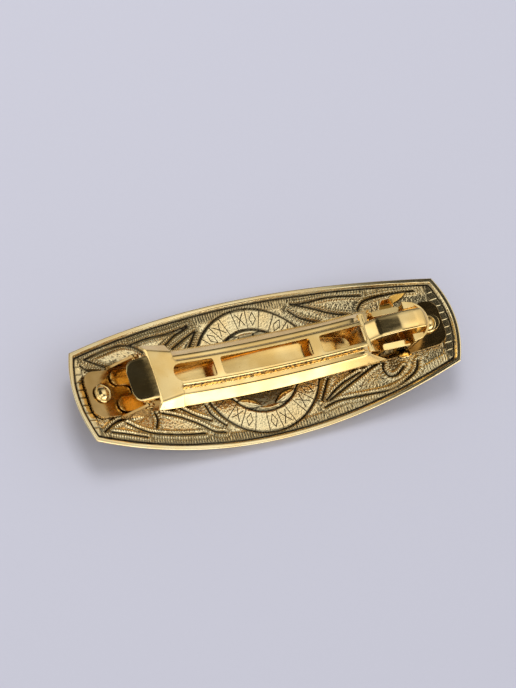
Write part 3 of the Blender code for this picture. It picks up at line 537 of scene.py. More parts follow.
def polished_metal(name, colour, shade, roughness, stretch):
    """Plated metal with cloudy tone, drawn lines and small scars."""
    material, tree, shader = new_material(name)
    broad = noise(tree, place(tree), TONE_PITCH)
    lines = noise(tree, place(tree, (stretch, 1, 1)), DRAWN_PITCH, 3.0)
    scars = ramp(tree, noise(tree, place(tree), SCAR_PITCH, 1.0), *SCAR_LINE)
    tone = mixed(tree, ramp(tree, broad, *TONE_LINE), shade, colour)
    tone = mixed(tree, scars, tone, shade)
    # Darker specks where the mesh marks the arm walls, and painted shade where it marks the near finger
    specks = ramp(tree, noise(tree, place(tree), SPECK_PITCH, 1.0), *SPECK_LINE)
    darkened = times(tree, attribute(tree, "dark_specks_and_shade"), specks)
    put(tree, shader.inputs["Base Color"], mixed(tree, darkened, tone, DARK_SPECK_AND_SHADE_COLOUR))
    shader.inputs["Metallic"].default_value = 1.0
    rougher = roughness * DRAWN_ROUGHER
    put(tree, shader.inputs["Roughness"], ramp(tree, lines, *DRAWN_LINE, roughness, rougher))
    height = minus(tree, lines, scars)
    edges = soft_edges(tree, EDGE_RADIUS)
    normal = bumped(tree, height, POLISHED_BUMP, POLISHED_BUMP_STRENGTH, edges)
    put(tree, shader.inputs["Normal"], normal)
    return material


def ring_marks(tree):
    """Cell lines, diamonds and crosses in the ring, as 1 on a line and 0 off it."""
    split = tree.nodes.new("ShaderNodeSeparateXYZ")
    tree.links.new(place(tree), split.inputs[0])
    x, y = split.outputs[0], split.outputs[1]
    radius = maths(tree, "SQRT", plus(tree, times(tree, x, x), times(tree, y, y)))
    turns = maths(tree, "MULTIPLY_ADD", maths(tree, "ARCTAN2", y, x), RING_CELLS / math.tau, RING_CELLS)
    cell = maths(tree, "FLOOR", turns)
    across = unsigned(tree, minus(tree, maths(tree, "FRACT", turns), 0.5))
    middle = (RING_OUTER_RADIUS + RING_INNER_RADIUS) / 2
    half = (RING_OUTER_RADIUS - RING_INNER_RADIUS) / 2
    along = unsigned(tree, maths(tree, "DIVIDE", minus(tree, radius, middle), half))
    bars = ramp(tree, across, *CELL_LINE)
    diamond = plus(tree, times(tree, across, DIAMOND_SLOPE), along)
    diamond = unsigned(tree, minus(tree, diamond, DIAMOND_REACH))
    cross = unsigned(tree, minus(tree, times(tree, across, CROSS_SLOPE), along))
    cross = plus(tree, cross, ramp(tree, along, *CROSS_END))
    odd = maths(tree, "MODULO", cell, 2.0)
    empty = maths(tree, "LESS_THAN", maths(tree, "MODULO", cell, 3.0), 0.5)
    shape = plus(tree, times(tree, diamond, odd), times(tree, cross, minus(tree, 1.0, odd)))
    shapes = ramp(tree, plus(tree, shape, empty), *SHAPE_LINE, 1.0, 0.0)
    inside = maths(tree, "LESS_THAN", along, CELL_REACH)
    return times(tree, inside, larger(tree, bars, shapes))


def antique_metal():
    """Cast gold, dark in its recesses, stippled on the ground and hatched along the lines."""
    material, tree, shader = new_material("antique_gold")
    dark, hatch, plain, run, ring, hollow = (attribute(tree, name) for name in FINISHES)
    wander = times(tree, noise(tree, place(tree), HATCH_WANDER_PITCH), HATCH_WANDER)
    angle = maths(tree, "MULTIPLY_ADD", run, math.tau / HATCH_PITCH, wander)
    wave = times(tree, maths(tree, "MULTIPLY_ADD", maths(tree, "SINE", angle), 0.5, 0.5), hatch)
    grain = noise(tree, place(tree), STIPPLE_PITCH, 1.0)
    rough = times(tree, minus(tree, 1.0, plain), minus(tree, 1.0, times(tree, hatch, HATCH_CALM)))
    marks = times(tree, ring_marks(tree), ring)
    pits = times(tree, ramp(tree, grain, *PIT_LINE), rough)
    gaps = times(tree, ramp(tree, wave, *GAP_LINE), hatch)
    flecks = larger(tree, times(tree, pits, PIT_DARK), times(tree, gaps, GAP_DARK))
    stain = larger(tree, larger(tree, dark, marks), flecks)
    cloud = noise(tree, place(tree), CLOUD_PITCH)
    gold = mixed(tree, ramp(tree, cloud, *CLOUD_LINE), ANTIQUE_LIGHT, ANTIQUE_DEEP)
    # Painted reflection: the scoops are turned orange, as if lit by the gold clasp
    gold = mixed(tree, hollow, gold, SCOOP_PAINTED_REFLECTION)
    put(tree, shader.inputs["Base Color"], mixed(tree, stain, gold, STAIN_COLOUR))
    shader.inputs["Metallic"].default_value = 1.0
    dull = maths(tree, "MULTIPLY_ADD", rough, ROUGH_GROUND, ANTIQUE_ROUGHNESS)
    put(tree, shader.inputs["Roughness"], maths(tree, "MULTIPLY_ADD", stain, ROUGH_STAIN, dull))
    height = plus(tree, times(tree, grain, rough), times(tree, wave, HATCH_RELIEF))
    height = minus(tree, height, times(tree, marks, MARK_RELIEF))
    put(tree, shader.inputs["Normal"], bumped(tree, height, ANTIQUE_BUMP, 1.0))
    return material


def floor_material():
    material, tree, shader = new_material("floor_paper")
    paper = noise(tree, place(tree), PAPER_PITCH)
    pale = tuple(FLOOR_COLOUR) + (1,)
    deep = tuple(FLOOR_SHADE * part for part in FLOOR_COLOUR) + (1,)
    put(tree, shader.inputs["Base Color"], mixed(tree, paper, pale, deep))
    shader.inputs["Roughness"].default_value = FLOOR_ROUGHNESS
    shader.inputs["Specular IOR Level"].default_value = FLOOR_SPECULAR
    return material


# Plate


def stroke_points(stroke):
    """A smooth run of points through the corners of a stroke, in metres."""
    corners = np.array(stroke) * MM
    padded = np.vstack((2 * corners[0] - corners[1], corners, 2 * corners[-1] - corners[-2]))
    points = []
    for index in range(len(corners) - 1):
        a, b, c, d = padded[index : index + 4]
        for step in range(STROKE_STEPS):
            t = step / STROKE_STEPS
            square = (2 * a - 5 * b + 4 * c - d) * t**2
            cube = (3 * b - a - 3 * c + d) * t**3
            points.append(0.5 * (2 * b + (c - a) * t + square + cube))
    points.append(corners[-1])
    return np.array(points)


def stroke_field(x, y, stroke):
    """Distance to a stroke and the length run along it, for every point."""
    points = stroke_points(stroke)
    nearest = np.full(x.shape, FAR_AWAY)
    run = np.zeros(x.shape)
    length = 0.0
    for start, stop in zip(points, points[1:]):
        along = stop - start
        size = float(np.hypot(*along))
        share = ((x - start[0]) * along[0] + (y - start[1]) * along[1]) / size**2
        held = np.clip(share, 0, 1)
        away = np.hypot(x - start[0] - held * along[0], y - start[1] - held * along[1])
        closer = away < nearest
        nearest = np.where(closer, away, nearest)
        run = np.where(closer, length + share * size, run)
        length += size
    return nearest, run


def lens_field(x, y, near, far, share):
    """How far inside a pointed leaf every point is, from 0 to 1, and the line round the leaf."""
    near, far = np.array(near) * MM, np.array(far) * MM
    size = float(np.hypot(*(far - near)))
    along = (far - near) / size
    run = ((x - near[0]) * along[0] + (y - near[1]) * along[1]) / size
    away = np.abs((y - near[1]) * along[0] - (x - near[0]) * along[1])
    edge = share * size * np.clip(4 * run * (1 - run), 0, 1)
    bulge = np.clip(1 - away / np.maximum(edge, WELD), 0, 1) * (run > 0) * (run < 1)
    outline = 1 - smooth(np.abs(away - edge), *LENS_LINE)
    return bulge, outline * (run > 0) * (run < 1)


def edge_distance(x, y):
    """Distance inside the plate's outline, and whether the end is nearer than the side."""
    side = PLATE_MIDDLE_Y - (PLATE_MIDDLE_Y - PLATE_CORNER_Y) * (x / PLATE_CORNER_X) ** 2
    slope = 2 * (PLATE_MIDDLE_Y - PLATE_CORNER_Y) * x / PLATE_CORNER_X**2
    to_side = (side - np.abs(y)) / np.sqrt(1 + slope**2)
    end = PLATE_CORNER_X + PLATE_END_BULGE * (1 - (y / PLATE_CORNER_Y) ** 2)
    slope = 2 * PLATE_END_BULGE * y / PLATE_CORNER_Y**2
    to_end = (end - np.abs(x)) / np.sqrt(1 + slope**2)
    return np.minimum(to_side, to_end), to_end < to_side


def add_border(cast, inner, at_end):
    """The raised and hatched border inside the rim."""
    border = smooth(inner, 0, BORDER_FADE)
    border = border * (1 - smooth(inner, BORDER_WIDTH, BORDER_WIDTH + BORDER_FADE))
    cast["height"] += BORDER_HEIGHT * border
    cast["hatch"] = border * (1 - at_end)


def add_ring(cast, x, y, radius, inner):
    """The ring of cells, the band inside it and the leaves on the band."""
    ring = smooth(radius, RING_INNER_RADIUS, RING_INNER_RADIUS + RING_FADE)
    ring *= 1 - smooth(radius, RING_OUTER_RADIUS - RING_FADE, RING_OUTER_RADIUS)
    ring *= smooth(inner, *RING_CLEAR)
    height = np.where(ring > RING_LEAST, RING_HEIGHT * ring, cast["height"])
    inside = 1 - smooth(radius, RING_INNER_RADIUS - RING_FADE, RING_INNER_RADIUS)
    height -= GROOVE_DEPTH * inside
    band = bell(radius, RING_INNER_RADIUS - BAND_WIDTH / 2, BAND_WIDTH / 2)
    height += (BAND_HEIGHT + GROOVE_DEPTH) * band
    dark = np.maximum(cast["dark"], INSIDE_DARK * inside * (1 - band))
    for near, far in LENSES:
        bulge, outline = lens_field(x, y, near, far, LENS_SHARE)
        height = np.maximum(height, (BAND_HEIGHT + LENS_RISE) * np.sqrt(bulge) * (bulge > 0))
        dark = np.maximum(np.where(bulge > 0, 0, dark), outline)
    for circle in (RING_OUTER_RADIUS, RING_INNER_RADIUS):
        line = 1 - smooth(np.abs(radius - circle), *CIRCLE_LINE)
        line *= smooth(inner, 0, LINE_FADE)
        height -= GROOVE_DEPTH * line
        dark = np.maximum(dark, line)
    cast["hatch"] *= 1 - ring
    cast.update(height=height, dark=dark, ring=ring, band=band)


def add_strokes(cast, x, y, radius, inner):
    """Blades and leaves: a dark groove with a raised and hatched ridge along it."""
    before, after = STROKE_RING_CLEAR
    free = smooth(radius, RING_OUTER_RADIUS - before, RING_OUTER_RADIUS + after)
    free *= smooth(inner, *STROKE_RIM_CLEAR)
    nearest = np.full(x.shape, FAR_AWAY)
    for stroke in STROKES:
        away, length = stroke_field(x, y, stroke)
        closer = away < nearest
        cast["run"] = np.where(closer & (away < HATCH_REACH), length, cast["run"])
        nearest = np.where(closer, away, nearest)
    low, high = GROOVE_SHARES
    groove = (1 - smooth(nearest, low * GROOVE_WIDTH, high * GROOVE_WIDTH)) * free
    ridge = bell(nearest, RIDGE_OFFSET, RIDGE_WIDTH) * free
    cast["height"] += RIDGE_HEIGHT * ridge - GROOVE_DEPTH * groove
    cast["dark"] = np.maximum(cast["dark"], groove)
    cast["hatch"] = np.maximum(cast["hatch"], ridge) * (1 - groove)
    cast["groove"] = groove


def add_scoops(cast, x, y):
    """Smooth hollow leaves that slope across their length."""
    hollow = np.zeros(x.shape)
    for near, far in SCOOPS:
        bulge = lens_field(x, y, near, far, SCOOP_SHARE)[0]
        within = smooth(bulge, 0, SCOOP_EDGE_SHARE) * (1 - cast["groove"])
        climb, length = far[1] - near[1], far[0] - near[0]
        middle = (near[1] + (x / MM - near[0]) * climb / length) * MM
        cast["height"] = cast["height"] * (1 - within) + SCOOP_SLOPE * (y - middle) * within
        cast["hatch"] *= 1 - within
        cast["dark"] *= 1 - within
        hollow = np.maximum(hollow, within)
    # The scoop mask also carries the orange painted reflection
    cast["hollow"] = hollow


def add_end_cells(cast, x, y, inner):
    """The row of cells at each end."""
    end_band = smooth(np.abs(x), END_LINE_X, END_LINE_X + LINE_FADE) * smooth(inner, 0, LINE_FADE)
    cell = np.abs((y / END_CELL_PITCH) % 1 - 0.5)
    long_line = bell(np.abs(x), END_LINE_X, END_LINE_WIDTH) * smooth(inner, 0, LINE_FADE)
    lines = np.maximum(smooth(cell, *END_CELL_LINE) * end_band, long_line)
    cast["height"] -= GROOVE_DEPTH * END_DEPTH_SHARE * lines
    cast["dark"] = np.maximum(cast["dark"], END_DARK * lines)
    cast["hatch"] *= 1 - end_band
    cast["end_band"] = end_band


def add_rim(cast, edge, inner):
    """The smooth rim with its lip, and the dark line at its foot."""
    foot = 1 - smooth(np.abs(inner - RIM_FOOT), *RIM_FOOT_LINE)
    dark = np.maximum(cast["dark"], foot)
    rim = 1 - smooth(inner, *RIM_FADE)
    height = cast["height"] * (1 - rim) + RIM_HEIGHT * rim
    height -= RIM_LIP_DEPTH * bell(edge, RIM_LIP, RIM_LIP_WIDTH) * rim
    turned = np.clip(1 - edge / RIM_ROUND, 0, 1)
    height -= RIM_ROUND * (1 - np.sqrt(1 - turned**2))
    cast["hatch"] *= 1 - rim
    dark *= 1 - rim * smooth(inner, 0, RIM_CLEAN)
    dark = np.maximum(dark, RIM_LIP_DARK * bell(edge, RIM_LIP, RIM_LIP_DARK_WIDTH) * rim)
    cast.update(height=height, dark=dark, rim=rim)


def relief(x, y):
    """Height of the relief over the plate's ground, and the finish of every point."""
    edge, at_end = edge_distance(x, y)
    inner = edge - RIM_WIDTH
    radius = np.hypot(x, y)
    cast = {"height": np.zeros(x.shape), "dark": np.zeros(x.shape), "run": np.where(at_end, y, x)}
    add_border(cast, inner, at_end)
    add_ring(cast, x, y, radius, inner)
    add_strokes(cast, x, y, radius, inner)
    add_scoops(cast, x, y)
    add_end_cells(cast, x, y, inner)
    add_rim(cast, edge, inner)
    plain = np.maximum(cast["rim"], RING_PLAIN * cast["ring"])
    for part in (cast["band"], END_PLAIN * cast["end_band"], cast["hollow"]):
        plain = np.maximum(plain, part)
    cast["plain"] = plain
    return cast["height"], {name: cast[name] for name in FINISHES}


def flattened(x, y, height):
    """Keeps the relief below the bar and round the rivets, where the bar is seated."""
    bar_edge = np.maximum(np.abs(y) - SEAT_HALF_WIDTH, np.abs(x) - SEAT_HALF_LENGTH)
    open_share = smooth(bar_edge, 0.0, SEAT_FADE)
    return np.minimum(height, BAR_CLEAR) * (1 - open_share) + height * open_share


def uneven(count, reach, edge_steps):
    """Even steps from -1 to 1 with finer ones at both ends."""
    fine = [1 - step / reach for step in edge_steps]
    inner = np.linspace(-fine[-1], fine[-1], count - 2 * (len(fine) - 1) + 1)
    return np.array([-value for value in fine[:-1]] + list(inner) + fine[:-1][::-1])


def plate_grid(u, v):
    """X and Y of the plate's grid for shares of its length and width."""
    u, v = np.meshgrid(u, v, indexing="ij")
    x = u * (PLATE_CORNER_X + PLATE_END_BULGE * (1 - v**2))
    y = v * (PLATE_MIDDLE_Y - (PLATE_MIDDLE_Y - PLATE_CORNER_Y) * u**2)
    return x, y


def border_loop(rows, columns, first):
    """Indices of a grid's outer points, in turn."""
    grid = first + np.arange(rows * columns).reshape(rows, columns)
    loop = list(grid[:, 0]) + list(grid[-1, 1:]) + list(grid[-2::-1, -1]) + list(grid[0, -2:0:-1])
    return [int(index) for index in loop]


def grid_faces(rows, columns, first, upward):
    grid = first + np.arange(rows * columns).reshape(rows, columns)
    a, b = grid[:-1, :-1].ravel(), grid[1:, :-1].ravel()
    c, d = grid[1:, 1:].ravel(), grid[:-1, 1:].ravel()
    corners = (a, b, c, d) if upward else (a, d, c, b)
    return np.stack(corners, axis=1).tolist()


def make_plate(material):
    """The relief plate as one closed skin, finer on its back than on its front."""
    u = uneven(2 * PLATE_CELLS_X, PLATE_CORNER_X, PLATE_EDGE_STEPS)
    v = uneven(2 * PLATE_CELLS_Y, PLATE_MIDDLE_Y, PLATE_EDGE_STEPS)
    x, y = plate_grid(u, v)
    height, finish = relief(x, y)
    z = PLATE_GROUND + flattened(x, y, height) + rise(x)
    back = np.stack((x, y, z), axis=-1).reshape(-1, 3)
    front_x, front_y = plate_grid(u[::2], v[::2])
    front_height, front_finish = relief(front_x, front_y)
    share_x = 1 - PLATE_DRAFT / PLATE_CORNER_X
    share_y = 1 - PLATE_DRAFT / PLATE_MIDDLE_Y
    front_z = PLATE_FRONT * (1 - front_height / RIM_HEIGHT) + rise(front_x * share_x)
    front = np.stack((front_x * share_x, front_y * share_y, front_z), axis=-1).reshape(-1, 3)
    faces = grid_faces(len(u), len(v), 0, True)
    faces += grid_faces(len(u[::2]), len(v[::2]), len(back), False)
    upper = border_loop(len(u), len(v), 0)
    lower = border_loop(len(u[::2]), len(v[::2]), len(back))
    for index, near in enumerate(lower):
        after = lower[(index + 1) % len(lower)]
        a, b, c = (upper[(2 * index + step) % len(upper)] for step in range(3))
        faces.append((c, b, a, near, after))
    mesh = bpy.data.meshes.new("relief_plate")
    mesh.from_pydata(np.vstack((back, front)).tolist(), [], faces)
    for name, values in finish.items():
        add_layer(mesh, name, np.concatenate((values.ravel(), front_finish[name].ravel())))
    mesh.polygons.foreach_set("use_smooth", [True] * len(mesh.polygons))
    mesh.materials.append(material)
    return added("relief_plate", mesh)


# Solids made from outlines and runs


def rounded(points, radius, steps):
    """A run of points with each inner corner rounded, always by the same number of points."""
    points = [Vector(point) for point in points]
    radii = radius if isinstance(radius, (list, tuple)) else [radius] * (len(points) - 2)
    smooth_run = [points[0]]
    for before, corner, after, size in zip(points, points[1:], points[2:], radii):
        back, ahead = before - corner, after - corner
        reach = min(size, FOLD_SHARE * back.length, FOLD_SHARE * ahead.length)
        start = corner + back.normalized() * reach if back.length else corner.copy()
        stop = corner + ahead.normalized() * reach if ahead.length else corner.copy()
        for step in range(steps + 1):
            share = step / steps
            first, second = start.lerp(corner, share), corner.lerp(stop, share)
            smooth_run.append(first.lerp(second, share))
    smooth_run.append(points[-1])
    return smooth_run


def lofted(name, rows):
    """Closed solid through rows of points, each row a ring of the same count."""
    shape = bmesh.new()
    rings = [[shape.verts.new(point) for point in row] for row in rows]
    count = len(rings[0])
    for first, second in zip(rings, rings[1:]):
        for index in range(count):
            after = (index + 1) % count
            shape.faces.new((first[index], first[after], second[after], second[index]))
    half = count // 2
    for ring in (rings[0], rings[-1]):
        for index in range(half - 1):
            corners = (ring[index], ring[index + 1], ring[count - 2 - index], ring[count - 1 - index])
            shape.faces.new(corners)
    bmesh.ops.recalc_face_normals(shape, faces=shape.faces)
    mesh = bpy.data.meshes.new(name)
    shape.to_mesh(mesh)
    shape.free()
    return added(name, mesh)


def prism(name, outline, low_y, high_y):
    """A side outline of X and Z carried across Y."""
    shape = bmesh.new()
    near = [shape.verts.new((x, low_y, z)) for x, z in outline]
    far = [shape.verts.new((x, high_y, z)) for x, z in outline]
    shape.faces.new(near)
    shape.faces.new(far[::-1])
    for index in range(len(near)):
        after = (index + 1) % len(near)
        shape.faces.new((near[index], far[index], far[after], near[after]))
    bmesh.ops.recalc_face_normals(shape, faces=shape.faces)
    mesh = bpy.data.meshes.new(name)
    shape.to_mesh(mesh)
    shape.free()
    return added(name, mesh)


def upright(name, outline, low_z, high_z):
    """A plan outline of X and Y carried up Z."""
    item = prism(name, outline, low_z, high_z)
    for vertex in item.data.vertices:
        vertex.co = (vertex.co.x, vertex.co.z, vertex.co.y)
    item.data.flip_normals()
    return item


def strap(name, path, half_widths, thickness, crown):
    """A strip along a side path of X and Z, with its own half width at every point."""
    rows = []
    across = [math.sin(math.radians(angle)) for angle in STRAP_ANGLES]
    for index, point in enumerate(path):
        before, after = path[max(index - 1, 0)], path[min(index + 1, len(path) - 1)]
        along = (after - before).normalized()
        up = Vector((-along.y, along.x))
        if up.y < 0:
            up = -up
        top, low = [], []
        for share in across:
            y = share * half_widths[index]
            inset = up * (-crown * share * share)
            edge = thickness * STRAP_ROUND * (1 - math.sqrt(max(1 - share**STRAP_POWER, 0)))
            high = point + inset - up * edge
            base = point + inset - up * (thickness - edge)
            top.append((high.x, y, high.y))
            low.append((base.x, y, base.y))
        rows.append(top + low[::-1])
    return lofted(name, rows)


def join(item, tool, operation="UNION"):
    """Applies one solid to another and removes the tool."""
    cut = item.modifiers.new(operation, "BOOLEAN")
    cut.operation = operation
    cut.solver = "EXACT"
    cut.object = tool
    bpy.context.view_layer.update()
    graph = bpy.context.evaluated_depsgraph_get()
    mesh = bpy.data.meshes.new_from_object(item.evaluated_get(graph))
    item.modifiers.clear()
    old, item.data = item.data, mesh
    bpy.data.meshes.remove(old)
    bpy.data.objects.remove(tool)


# Arm


def arm_top(x):
    return ARM_TOP + rise(x, ARM_ARC_RADIUS)


def arm_step(x):
    """How far the bands beside the windows lie below the strips."""
    return ARM_STEP * float(smooth(x, ARM_STEP_START, ARM_STEP_END))


def flange_lean(x):
    """How far the free edge of the flange stands past its own station."""
    fan = min((x - ARM_LEFT) / (ARM_STEP_START - ARM_LEFT), 1)
    end = max((x - ARM_END_LEAN_START) / (ARM_RIGHT - ARM_END_LEAN_START), 0)
    return ARM_END_LEAN * end - ARM_HEAD_LEAN * (1 - fan)


def arm_corners(x):
    """Corners of the arm's upper face across Y at a station, as Y and drop."""
    fan = min((x - ARM_LEFT) / (ARM_STEP_START - ARM_LEFT), 1)
    share = float(smooth(x, ARM_STEP_START, ARM_STEP_END))
    end = float(smooth(x, 0, ARM_RIGHT))
    last = float(smooth(x, ARM_END_STEP, ARM_RIGHT))
    before = [head + (neck - head) * fan for head, neck in zip(ARM_HEAD, ARM_NECK)]
    strip, wall, band, edge, drop = (
        first + (body - first) * share for first, body in zip(before, ARM_BODY)
    )
    edge += (ARM_END_EDGE_Y - ARM_BODY[3]) * end
    wall += (ARM_END_WALL_Y - wall) * last
    step = arm_step(x)
    half = [(strip, 0), (wall, -step * (1 - last)), (band, -step), (edge, -drop)]
    return [Vector((-y, z)) for y, z in reversed(half)] + [Vector((y, z)) for y, z in half]


def underside(points, thickness):
    """Lower corners of a folded sheet, mitred at each fold."""
    lower = []
    for index, point in enumerate(points):
        normals = []
        for a, b in ((index - 1, index), (index, index + 1)):
            if a >= 0 and b < len(points):
                along = (points[b] - points[a]).normalized()
                normals.append(Vector((along.y, -along.x)))
        middle = sum(normals, Vector((0, 0))).normalized()
        lower.append(point + middle * thickness / max(middle.dot(normals[0]), MITRE_LEAST))
    return lower


def arm_ring(x):
    outward, inward = ARM_FOLD, ARM_INNER_FOLD
    upper = arm_corners(x)
    lower = underside(upper, ARM_SHEET)
    folds = (outward, inward, outward, outward, inward, outward)
    under = (inward, outward, inward, inward, outward, inward)
    run = rounded(upper, folds, ARM_FOLD_STEPS)
    back = rounded(lower, under, ARM_FOLD_STEPS)
    step, drop = arm_step(x), -upper[0].y
    ring = []
    for point in run + back[::-1]:
        hang = min(max((-point.y - step) / (drop - step), 0), 1)
        at = x + flange_lean(x) * hang
        ring.append((at, point.x, float(arm_top(at)) + point.y))
    return ring


def window_outline(left, right, left_radius):
    outline = []
    corners = (
        (right, 1, WINDOW_CORNER, 0),
        (left, 1, left_radius, 90),
        (left, -1, left_radius, 180),
        (right, -1, WINDOW_CORNER, 270),
    )
    for x, side, radius, start in corners:
        centre_x = x + radius * (1 if x == left else -1)
        centre_y = side * (WINDOW_HALF_WIDTH - radius)
        for step in range(WINDOW_CORNER_STEPS + 1):
            angle = math.radians(start + 90 * step / WINDOW_CORNER_STEPS)
            outline.append((centre_x + radius * math.cos(angle), centre_y + radius * math.sin(angle)))
    return outline


def round_ended(path, half_width, corner):
    """Half widths along a path whose far end has round corners, with the path closed up there."""
    lengths = [0.0]
    for first, second in zip(path, path[1:]):
        lengths.append(lengths[-1] + (second - first).length)
    whole = lengths[-1]
    marks = [length for length in lengths if length < whole - corner]
    marks += [whole - corner * math.cos(math.radians(angle)) for angle in CORNER_ANGLES]
    points, widths = [], []
    for mark in marks:
        index = max(number for number, length in enumerate(lengths[:-1]) if length <= mark + WELD)
        share = (mark - lengths[index]) / (lengths[index + 1] - lengths[index])
        points.append(path[index].lerp(path[index + 1], share))
        missing = max(mark - (whole - corner), 0)
        widths.append(half_width(mark / whole) - corner + math.sqrt(max(corner**2 - missing**2, 0)))
    return points, widths


def make_flap():
    top = float(arm_top(ARM_LEFT)) - FLAP_SINK
    start = Vector((ARM_LEFT + FLAP_OVERLAP, top))
    bend = Vector((ARM_LEFT, top))
    knee = Vector((FLAP_KNEE_X, FLAP_KNEE_Z - FLAP_SINK))
    end = Vector((FLAP_END_X, FLAP_END_Z - FLAP_SINK))
    path = rounded([start, bend, knee, end], (FLAP_BEND, FLAP_KNEE_BEND), FLAP_BEND_STEPS)
    last = path[-2]
    path = path[:-1] + [last.lerp(end, step / FLAP_STEPS) for step in range(1, FLAP_STEPS + 1)]
    points, widths = round_ended(
        path,
        lambda share: FLAP_ROOT_HALF_WIDTH + (FLAP_END_HALF_WIDTH - FLAP_ROOT_HALF_WIDTH) * share,
        FLAP_CORNER,
    )
    return strap("flap", points, widths, ARM_SHEET, FLAP_CROWN)


def make_nose():
    path = rounded(NOSE_PATH, NOSE_BEND, BEND_STEPS)
    points, widths = round_ended(path, lambda share: NOSE_HALF_WIDTH, NOSE_CORNER)
    return strap("nose", points, widths, ARM_SHEET, NOSE_CROWN)


def ribbon_outline(path, thickness):
    lower = underside(path, thickness)
    return [tuple(point) for point in path + lower[::-1]]


def foot_outline():
    """The foot seen from the side, with round corners, begun in the middle of its lower edge."""
    left, right, low, high = FOOT_BOX
    middle = (left + right) / 2
    corners = [(middle, low), (right, low), (right, high), (left, high), (left, low), (middle, low)]
    return [tuple(point) for point in rounded(corners, FOOT_CORNER, BEND_STEPS)][:-1]


def lug_outline():
    """The hinge lug seen from the side: half a round below, and straight up to the arm."""
    lug = []
    for angle in HUB_ANGLES:
        turn = math.radians(angle)
        lug.append((HINGE_X + LUG_RADIUS * math.cos(turn), HINGE_Z + LUG_RADIUS * math.sin(turn)))
    lug.append((HINGE_X + LUG_RADIUS, LUG_TOP_Z))
    lug.append((HINGE_X - LUG_RADIUS, LUG_TOP_Z - ARM_SHEET))
    return lug


def make_arm(material):
    """The folded arm with its windows, flap, nose, wings, feet and hinge lugs."""
    stations = set(np.linspace(ARM_LEFT, ARM_RIGHT, ARM_STATIONS))
    stations |= set(np.linspace(ARM_STEP_START, ARM_STEP_END, ARM_STEP_STATIONS))
    arm = lofted("fine_arm", [arm_ring(float(x)) for x in sorted(stations)])
    low, high = ARM_TOP - CUT_OVERRUN, float(arm_top(ARM_LEFT)) + CUT_OVERRUN
    for left, right, radius in WINDOWS:
        join(arm, upright("window", window_outline(left, right, radius), low, high), "DIFFERENCE")
    join(arm, make_flap())
    join(arm, make_nose())
    wing = ribbon_outline(rounded(WING_PATH, WING_BEND, BEND_STEPS), ARM_SHEET)
    for side in (1, -1):
        for name, outline, inner_y, outer_y in (
            ("wing", wing, WING_INNER_Y, WING_OUTER_Y),
            ("foot", foot_outline(), FOOT_INNER_Y, FOOT_OUTER_Y),
            ("lug", lug_outline(), LUG_OUTER_Y - LUG_THICKNESS, LUG_OUTER_Y),
        ):
            join(arm, prism(name, outline, *sorted((side * inner_y, side * outer_y))))
    shaded(arm.data, material)
    mark_dark_walls(arm.data)
    return arm


def vertex_places(mesh):
    places = np.zeros(3 * len(mesh.vertices))
    mesh.vertices.foreach_get("co", places)
    return places.reshape(-1, 3).T


def mark_dark_walls(mesh):
    """Marks the upright walls beside the windows, which the material darkens with specks."""
    x, y, z = vertex_places(mesh)
    drop = ARM_TOP + rise(np.clip(x, ARM_LEFT, ARM_RIGHT), ARM_ARC_RADIUS) - z
    inside = (x > ARM_STEP_START) & (x < ARM_END_STEP) & (np.abs(y) > ARM_BODY[0] - DARK_WALL_MARGIN)
    inside &= (np.abs(y) < ARM_BODY[1] + DARK_WALL_MARGIN) & (drop > DARK_WALL_TOP) & (drop < ARM_STEP - DARK_WALL_LOW)
    add_layer(mesh, "dark_specks_and_shade", inside)


def mark_finger_shade(mesh):
    """Marks the outer side and the tab of the near finger, below its lip, which get painted shade."""
    x, y, z = vertex_places(mesh)
    add_layer(mesh, "dark_specks_and_shade", FINGER_PAINTED_SHADE * ((y < -FINGER_OUTER_Y) & (z < FINGER_LIP_Z)))


def shaded(mesh, material):
    """Smooth shading with the sharp edges kept, and one material."""
    shape = bmesh.new()
    shape.from_mesh(mesh)
    for face in shape.faces:
        face.smooth = True
        face.material_index = 0
    for item in shape.edges:
        item.smooth = not (len(item.link_faces) == 2 and item.calc_face_angle(0) > SHARP_ANGLE)
    shape.to_mesh(mesh)
    shape.free()
    mesh.materials.clear()
    mesh.materials.append(material)


def make_rivet(name, side, material):
    """A domed head on a flange, turned about the plate's normal."""
    x = side * RIVET_X
    tilt = math.asin(x / PLATE_ARC_RADIUS)
    frame = Matrix.Translation((0, 0, PLATE_ARC_RADIUS)) @ Matrix.Rotation(-tilt, 4, "Y")
    frame = frame @ Matrix.Translation((0, 0, PLATE_GROUND + RIVET_SEAT - PLATE_ARC_RADIUS))
    profile = [Vector(point) for point in RIVET_PROFILE]
    shape = bmesh.new()
    rings = []
    for point in profile:
        ring = []
        for step in range(RIVET_SEGMENTS):
            angle = math.tau * step / RIVET_SEGMENTS
            ring.append(shape.verts.new((point.x * math.cos(angle), point.x * math.sin(angle), point.y)))
        rings.append(ring)
    for first, second in zip(rings, rings[1:]):
        for index in range(RIVET_SEGMENTS):
            after = (index + 1) % RIVET_SEGMENTS
            shape.faces.new((first[index], first[after], second[after], second[index]))
    shape.faces.new(rings[-1])
    shape.faces.new(rings[0][::-1])
    mesh = bpy.data.meshes.new(name)
    shape.to_mesh(mesh)
    shape.free()
    mesh.transform(frame)
    item = added(name, mesh)
    shaded(mesh, material)
    return item


# Fine edges on the other pieces


